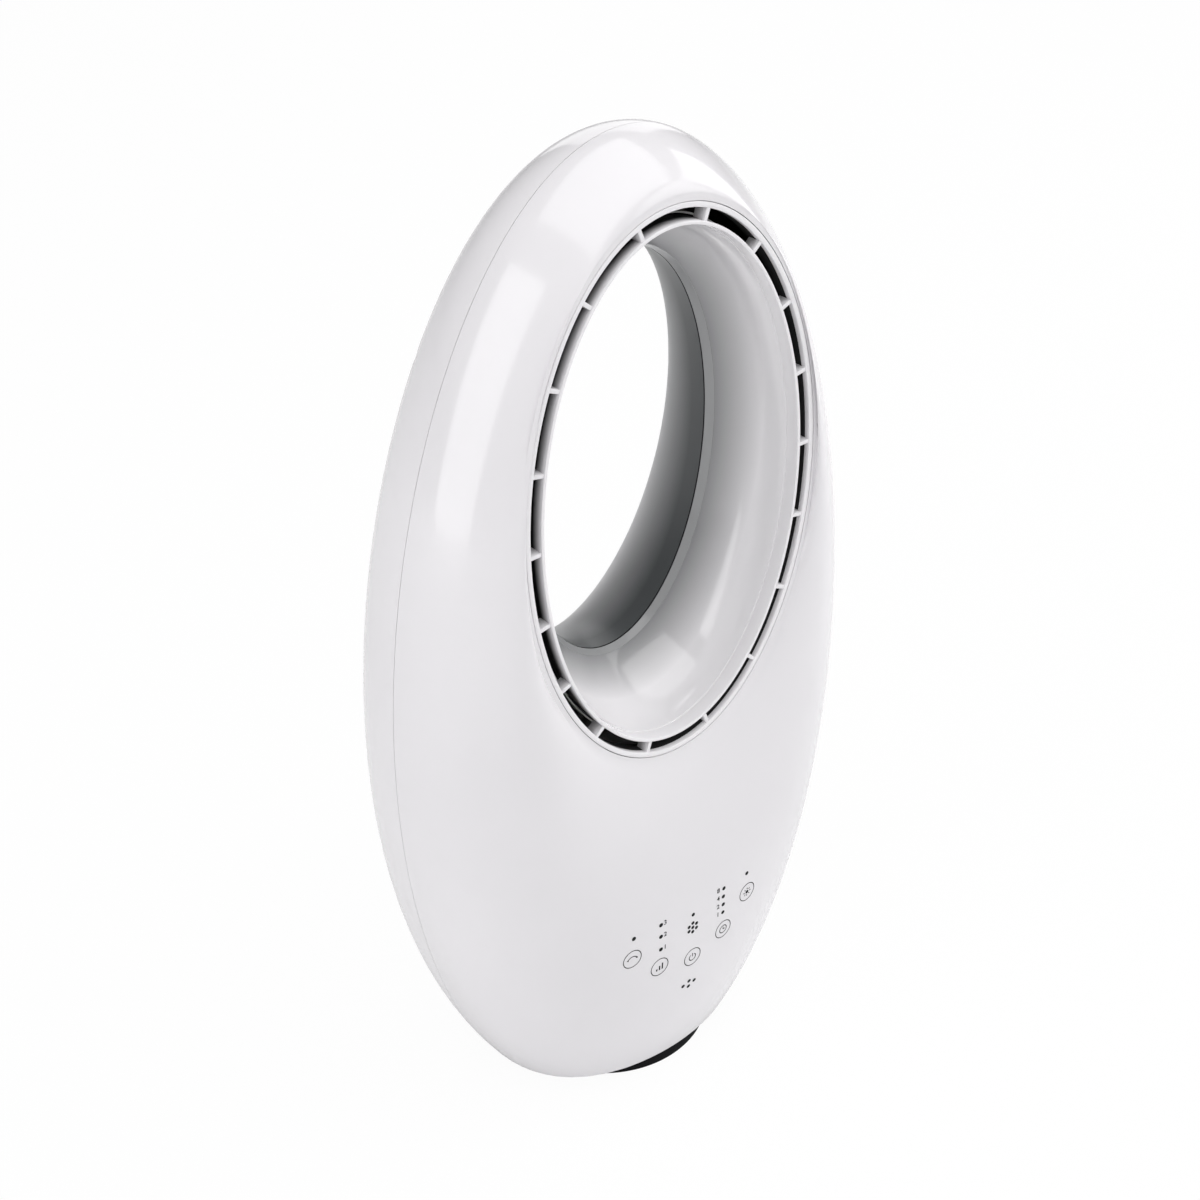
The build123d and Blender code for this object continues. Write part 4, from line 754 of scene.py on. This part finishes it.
# outlet ring: outer band with its flange, inner lip, and the webs between them
edge, outerEdge, ease = ringShape["round"], ringShape["outerRound"], ringShape["ease"]
flangeOut = grown(ringOuter, ringShape["flange"])
flangeFrom, flangeTo = bodyShape["wall"], bodyShape["wall"] + ringShape["flangeThickness"]
band = (
    (slitOuter, ringShape["bandDepth"]),
    (slitOuter, ringShape["bandShade"]),
    (slitOuter, edge),
    (grown(slitOuter, edge * ease), edge * ease),
    (grown(slitOuter, edge), 0),
    (grown(ringOuter, -outerEdge), 0),
    (grown(ringOuter, -outerEdge * ease), outerEdge * ease),
    (ringOuter, outerEdge),
    (ringOuter, flangeFrom),
    (flangeOut, flangeFrom),
    (flangeOut, flangeTo),
    (ringOuter, flangeTo),
    (ringOuter, ringShape["bandDepth"]),
)
lip = (
    (slitInner, ringShape["lipDepth"]),
    (slitInner, edge),
    (grown(slitInner, -edge * ease), edge * ease),
    (grown(slitInner, -edge), 0),
    (grown(lipInner, edge), 0),
    (grown(lipInner, edge * ease), edge * ease),
    (lipInner, edge),
    (lipInner, ringShape["lipDepth"]),
)
bm = bmesh.new()
foot = len(band) - 1
addTube(bm, [ringStation(*row) for row in band], [(0, 1, 1), (foot, foot + 1, 1)])  # painted shade on its slit wall past bandShade, and on its back face
addTube(bm, [ringStation(*row) for row in lip], [(0, 2, 2)])  # painted shade on its outside, darker deeper in the slit


def ellipsePlaces(half, count, fine=7200):
    # places spaced evenly along an ellipse, each with the way it runs there
    angles = [2 * math.pi * i / fine for i in range(fine + 1)]
    points = [Vector((half[0] * math.cos(a), half[1] * math.sin(a))) for a in angles]
    lengths = [0.0]
    for one, other in zip(points, points[1:]):
        lengths.append(lengths[-1] + (other - one).length)
    places = []
    for k in range(count):
        i = next(i for i, length in enumerate(lengths) if length >= lengths[-1] * k / count)
        tangent = points[min(i + 1, fine)] - points[max(i - 1, 0)]
        places.append((points[i], math.atan2(tangent.y, tangent.x)))
    return places


ribSize = (
    ringShape["ribThickness"],
    ringShape["slitWidth"] + 2 * ringShape["ribRoot"],
    ringShape["ribDepth"],
)
ribDrop = -ringShape["ribRecess"] - ribSize[2] / 2
ringTurn = Matrix((Vector((1, 0, 0)), ringUp, -ringBack)).transposed().to_4x4()
ringMatrix = Matrix.Translation(ringCentre * mm) @ ringTurn
for point, angle in ellipsePlaces(ringShape["slit"], ringShape["ribs"]):
    place = ringMatrix @ Matrix.Translation(Vector((*point, ribDrop)) * mm)
    place = place @ Matrix.Rotation(angle, 4, "Z") @ Matrix.Diagonal((*ribSize, 1))
    block = bmesh.ops.create_cube(bm, size=mm, matrix=place)["verts"]
    rounding = {"offset": ringShape["ribEdge"] * mm, "segments": 2, "profile": 0.5, "affect": "EDGES"}
    bmesh.ops.bevel(bm, geom=edgesOf(block), material=-1, **rounding)
addPiece(bm, "outletRing", "ringWhite cavityBlack slitShade", "head", ("outlet_ring",))

# funnel from the lip to the band, and its outside
d = ductShape
bandEnd = -d["seal"] / 2
throatOut = grown(d["throat"], d["funnelWall"])
inside, outside = funnelStations(), funnelStations(d["funnelWall"])
ends = [
    uprightStation(grown(d["band"], -d["bead"]), bandEnd - d["bandLength"], d["bandCentre"]),
    uprightStation(d["throat"], bandEnd, d["bandCentre"]),
    uprightStation(throatOut, bandEnd, d["bandCentre"]),
]
rows = inside + ends + outside[::-1]
bm = bmesh.new()
# painted shade on the band, and painted shade black on the funnel's outside
addTube(bm, rows, [(len(inside), len(inside) + 1, 2), (len(inside) + 2, len(rows) - 1, 1)])
funnelFinish = "funnelWhite cavityBlack bandGrey"
addPiece(
    bm, "nozzleFunnel", funnelFinish, "head", ("nozzle_funnel",),
    sharp=d["funnelSharp"], bevel=d["funnelEdge"],
)

# thin seal between the funnel and the rear duct
sealIn = grown(d["throat"], d["sealInset"])
corners = ((sealIn, bandEnd), (throatOut, bandEnd), (throatOut, -bandEnd), (sealIn, -bandEnd))
bm = bmesh.new()
addTube(bm, [uprightStation(outline, y, d["bandCentre"]) for outline, y in corners])
addPiece(bm, "ductSeal", "sealGrey", "head", ("duct_seal",))
print("ring, funnel and seal made")

# pieces that start from their own solid, with softened edges
softened = {
    "intake_grille": ("intakeGrille", "shellWhite", "head", "shell_white", 0.35),
    "dc_inlet": ("dcInlet", "componentBlack", "head", "component_black", 0.25),
    "rubber_feet": ("rubberFeet", "rubberBlack", "base", "rubber_black", 0.3),
}
softenSet = {"merge": 0.002, "flat": 0.4, "sharp": 32}


def softenNode(node, name, finish, body, slot, bevel):
    s = softenSet
    bm = bmesh.new()
    bm.from_mesh(frame["nodes"][node].data)
    bmesh.ops.remove_doubles(bm, verts=bm.verts, dist=s["merge"] * mm)
    bmesh.ops.dissolve_limit(bm, angle_limit=math.radians(s["flat"]), verts=bm.verts, edges=bm.edges)
    addPiece(bm, name, finish, body, (node,), s["sharp"], bevel, flip=False)


for node, how in softened.items():
    softenNode(node, *how)

# foot: a turned shell with a rounded edge, the glide's groove and the turret
footSet = {
    "profile": (
        (58.8, 1.2), (61.9, 1.0), (62.4, 1.15), (62.6, 1.5), (62.6, 7.4), (62.45, 8.1), (62.0, 8.7),
        (61.4, 9.0), (60.8, 9.1), (57.6, 9.1), (57.6, 7.5), (48.0, 7.5), (48.0, 6.7), (40.0, 6.7),
        (40.0, 7.5), (16.6, 7.5), (16.15, 7.7), (16.0, 8.1), (16.0, 16.5), (15.5, 17.0), (5.0, 17.0),
        (5.0, 2.4), (18.2, 2.4), (18.2, 5.3), (58.8, 5.3),
    ),
    "steps": 144,
    "weld": 0.001,
}


def turned(profile, steps, weld):
    bm = bmesh.new()
    verts = [bm.verts.new((x * mm, 0, z * mm)) for x, z in profile]
    edges = [bm.edges.new(pair) for pair in zip(verts, verts[1:] + verts[:1])]
    turn = {"cent": (0, 0, 0), "axis": (0, 0, 1), "angle": 2 * math.pi, "steps": steps}
    bmesh.ops.spin(bm, geom=verts + edges, use_merge=True, **turn)
    bmesh.ops.remove_doubles(bm, verts=bm.verts, dist=weld * mm)
    return bm


foot = turned(footSet["profile"], footSet["steps"], footSet["weld"])
addPiece(foot, "footShell", "footBlack", "base", ("base_shell",))
print("foot and softened pieces made")

# printed panel: rings, dots and plain pictograms, laid on the shell
panelSet = {
    "keys": {
        "swing": (-42.0, 110.3),
        "speed": (-23.2, 94.3),
        "power": (0.5, 88.0),
        "timer": (23.4, 94.7),
        "light": (41.5, 111.0),
    },
    "keyRadius": 5.78,
    "line": 0.52,
    "strokeShare": 1.1,  # a pictogram's stroke against the ring's line
    "dots": (
        (-41.3, 124.5, 1.35), (-22.9, 124.1, 1.35), (-22.9, 116.0, 1.35), (-22.8, 106.9, 1.35),
        (22.7, 124.5, 1.25), (22.4, 119.0, 1.25), (22.5, 113.3, 1.25), (22.4, 107.7, 1.25),
        (40.5, 125.0, 1.25), (0.0, 118.8, 1.2),
        (-4.5, 67.8, 1.25), (-0.3, 65.3, 1.25), (-0.3, 69.6, 1.25), (3.7, 67.7, 1.25),
    ),
    "cluster": {"at": (-0.2, 109.9), "radius": 1.15, "reach": 3.1, "count": 6, "start": 30},
    "numbers": (
        ("3", -19.9, 123.1), ("2", -19.9, 115.0), ("1", -19.9, 105.9),
        ("8", 18.6, 123.5), ("4", 18.6, 118.0), ("2", 18.6, 112.3), ("1", 18.6, 106.7),
    ),
    "numberHeight": 2.9,
    "numberWeight": 0.02,
    "capShare": 0.69,  # a figure's height as a share of its type size
    "lift": 0.05,
}
stroke = panelSet["line"] * panelSet["strokeShare"]
# each mark: its kind, its place from the key's middle, and its sizes; angles in degrees
pictograms = {
    "swing": (
        ("arc", 0, -1.6, 3.4, stroke, 35, 110),
        ("dot", -2.9, 0.1, 0.85, 3, -30),
        ("dot", 2.9, 0.1, 0.85, 3, -150),
    ),
    "speed": tuple(("bar", -1.9 + 1.9 * k, -1.6 + 0.75 * k, 1.6 + 1.5 * k, 0.95, 90) for k in range(3)),
    "power": (("arc", 0, -0.2, 2.3, stroke, 125, 290), ("bar", 0, 1.5, 2.6, stroke, 90)),
    "timer": (
        ("arc", 0, 0, 2.6, stroke, 0, 360),
        ("bar", 0, 0.8, 1.7, stroke, 90),
        ("bar", 0.65, 0, 1.4, stroke, 0),
    ),
    "light": (("dot", 0, 0, 1.15, 20, 0),),
}
sunRays = {"count": 8, "reach": 2.35, "length": 1.1}
arcSteps = {"least": 8, "perRadian": 9}


def flat(x, z, angle=0.0, scale=(1, 1)):
    # marks are drawn upright in the XZ plane and then laid on the shell
    place = Matrix.Translation(Vector((x, 0, z)) * mm) @ Matrix.Rotation(math.pi / 2, 4, "X")
    return place @ Matrix.Rotation(angle, 4, "Z") @ Matrix.Diagonal((scale[0] * mm, scale[1] * mm, 1, 1))


def dot(bm, x, z, radius, corners=20, angle=0.0):
    place = flat(x, z, math.radians(angle), (radius, radius))
    bmesh.ops.create_circle(bm, cap_ends=True, segments=corners, radius=1, matrix=place)


def bar(bm, x, z, length, width, angle=0.0):
    place = flat(x, z, math.radians(angle), (length, width))
    bmesh.ops.create_grid(bm, x_segments=4, y_segments=1, size=0.5, matrix=place)


def arc(bm, x, z, radius, width, start=0.0, sweep=360.0):
    centre, first, angle = Vector((x, 0, z)) * mm, math.radians(start), math.radians(sweep)
    way = Vector((math.cos(first), 0, math.sin(first)))
    reaches = (radius - width / 2, radius + width / 2)
    ends = [bm.verts.new(centre + way * reach * mm) for reach in reaches]
    steps = max(arcSteps["least"], int(angle * arcSteps["perRadian"]))
    turn = {"cent": centre, "axis": (0, -1, 0), "angle": angle, "steps": steps}
    bmesh.ops.spin(bm, geom=[*ends, bm.edges.new(ends)], use_merge=sweep == 360, **turn)


strokes = {"dot": dot, "bar": bar, "arc": arc}
bm = bmesh.new()
for key, (x, z) in panelSet["keys"].items():
    arc(bm, x, z, panelSet["keyRadius"], panelSet["line"])
    for kind, right, up, *sizes in pictograms[key]:
        strokes[kind](bm, x + right, z + up, *sizes)
x, z = panelSet["keys"]["light"]
for k in range(sunRays["count"]):
    turn = 360 / sunRays["count"] * k
    right, up = (sunRays["reach"] * share(math.radians(turn)) for share in (math.cos, math.sin))
    bar(bm, x + right, z + up, sunRays["length"], stroke, turn)
for mark in panelSet["dots"]:
    dot(bm, *mark)
cluster = panelSet["cluster"]
x, z = cluster["at"]
dot(bm, x, z, cluster["radius"])
for k in range(cluster["count"]):
    turn = math.radians(cluster["start"] + 360 / cluster["count"] * k)
    right, up = (cluster["reach"] * share(turn) for share in (math.cos, math.sin))
    dot(bm, x + right, z + up, cluster["radius"])
for figure, x, z in panelSet["numbers"]:
    curve = bpy.data.curves.new("figure", "FONT")
    curve.body, curve.size, curve.align_x = figure, 1.0, "CENTER"
    curve.offset = panelSet["numberWeight"]
    letter = newObject("figure", curve)
    shape = bpy.data.meshes.new_from_object(letter.evaluated_get(bpy.context.evaluated_depsgraph_get()))
    size = panelSet["numberHeight"] / panelSet["capShare"]
    shape.transform(flat(x, z, 0, (size, size)))
    bm.from_mesh(shape)
    bpy.data.objects.remove(letter)
    bpy.data.meshes.remove(shape)
skin = frontShell.data
frontTree = BVHTree.FromPolygons([v.co for v in skin.vertices], [p.vertices[:] for p in skin.polygons])
for vert in bm.verts:
    hit, normal = skinAt(frontTree, vert.co.x / mm, vert.co.z / mm, fromFront)
    vert.co = hit + normal * panelSet["lift"] * mm
bmesh.ops.recalc_face_normals(bm, faces=bm.faces)
for face in bm.faces:
    if face.normal.y > 0:
        face.normal_flip()
addPiece(bm, "panelPrint", "ink", "head", flip=False)
print("panel printed")

# floor, light and air round it
stageSet = {
    "floor": 9.0,
    "floorColour": (0.88, 0.88, 0.885, 1),
    "floorRough": 0.8,
    "white": (1, 1, 1, 1),
    "whiteShare": 0.96,
    "glossShare": 0.2,
    "worldFront": 0.5,
    "worldBack": 0.12,
    "worldTurns": (-0.6, 0.3),  # from the front's strength to the back's
    "worldSeen": 1.0,
    "lamps": {
        "leftSide": {"at": (-2.3, 0.0, 1.0), "aim": (0, 0, 0.3), "size": (1.6, 2.2), "power": 25.5},
        "overhead": {"at": (0.05, -0.3, 2.4), "aim": (0, 0, 0.3), "size": (2.8, 2.4), "power": 33},
        "frontRight": {"at": (1.7, -2.0, 1.3), "aim": (0, 0, 0.25), "size": (1.6, 2.0), "power": 14.5},
        "rightSide": {"at": (2.3, -0.3, 1.0), "aim": (0, 0, 0.3), "size": (1.6, 2.2), "power": 20},
        "backRight": {"at": (1.5, 1.9, 1.3), "aim": (0, 0, 0.25), "size": (1.6, 1.8), "power": 10},
    },
}


def makeFloor(s):
    bm = bmesh.new()
    bmesh.ops.create_grid(bm, x_segments=1, y_segments=1, size=s["floor"])
    mesh = bpy.data.meshes.new("floor")
    bm.to_mesh(mesh)
    bm.free()
    paint = Paint("floorPaper")
    paint.set(Base_Color=s["floorColour"], Roughness=s["floorRough"])
    camera = paint.node("ShaderNodeLightPath", {}, {}, "Is Camera Ray")
    gloss = paint.node("ShaderNodeLightPath", {}, {}, "Is Glossy Ray")
    seen = camera * s["whiteShare"] + gloss * s["glossShare"]
    glow = paint.node("ShaderNodeEmission", {}, {"Color": s["white"], "Strength": 1.0})
    plain = Sock(paint, paint.shader.outputs[0])
    blend = paint.node("ShaderNodeMixShader", {}, {0: seen, 1: plain, 2: glow})
    paint.feed(paint.out.inputs["Surface"], blend)
    mesh.materials.append(paint.material)
    newObject("floor", mesh)


def makeLamps(lamps):
    for name, s in lamps.items():
        data = bpy.data.lights.new(name, "AREA")
        data.shape, data.energy = "RECTANGLE", s["power"]
        data.size, data.size_y = s["size"]
        lamp = newObject(name, data)
        lamp.location = s["at"]
        lamp.rotation_euler = (Vector(s["aim"]) - Vector(s["at"])).to_track_quat("-Z", "Y").to_euler()


def makeWorld(s):
    world = bpy.data.worlds.new("studio")
    world.use_nodes = True
    tree = world.node_tree
    tree.nodes.clear()
    wanted = ("LightPath", "Background", "Background", "TexCoord", "SeparateXYZ", "MapRange", "MixShader")
    rays, fill, seen, place, split, side, blend = (tree.nodes.new("ShaderNode" + kind) for kind in wanted)
    out = tree.nodes.new("ShaderNodeOutputWorld")
    ends = ("From Min", "From Max", "To Min", "To Max")
    for end, value in zip(ends, (*s["worldTurns"], s["worldFront"], s["worldBack"])):
        side.inputs[end].default_value = value
    fill.inputs["Color"].default_value = seen.inputs["Color"].default_value = s["white"]
    seen.inputs["Strength"].default_value = s["worldSeen"]
    links = (
        (place.outputs["Generated"], split.inputs[0]),
        (split.outputs["Y"], side.inputs["Value"]),
        (side.outputs[0], fill.inputs["Strength"]),  # the room is darker behind the object
        (rays.outputs["Is Camera Ray"], blend.inputs[0]),
        (fill.outputs[0], blend.inputs[1]),
        (seen.outputs[0], blend.inputs[2]),
        (blend.outputs[0], out.inputs["Surface"]),
    )
    for link in links:
        tree.links.new(*link)
    bpy.context.scene.world = world


makeFloor(stageSet)
makeLamps(stageSet["lamps"])
makeWorld(stageSet)
bpy.context.scene.view_settings.view_transform = "Standard"
print("floor, lamps and world set")
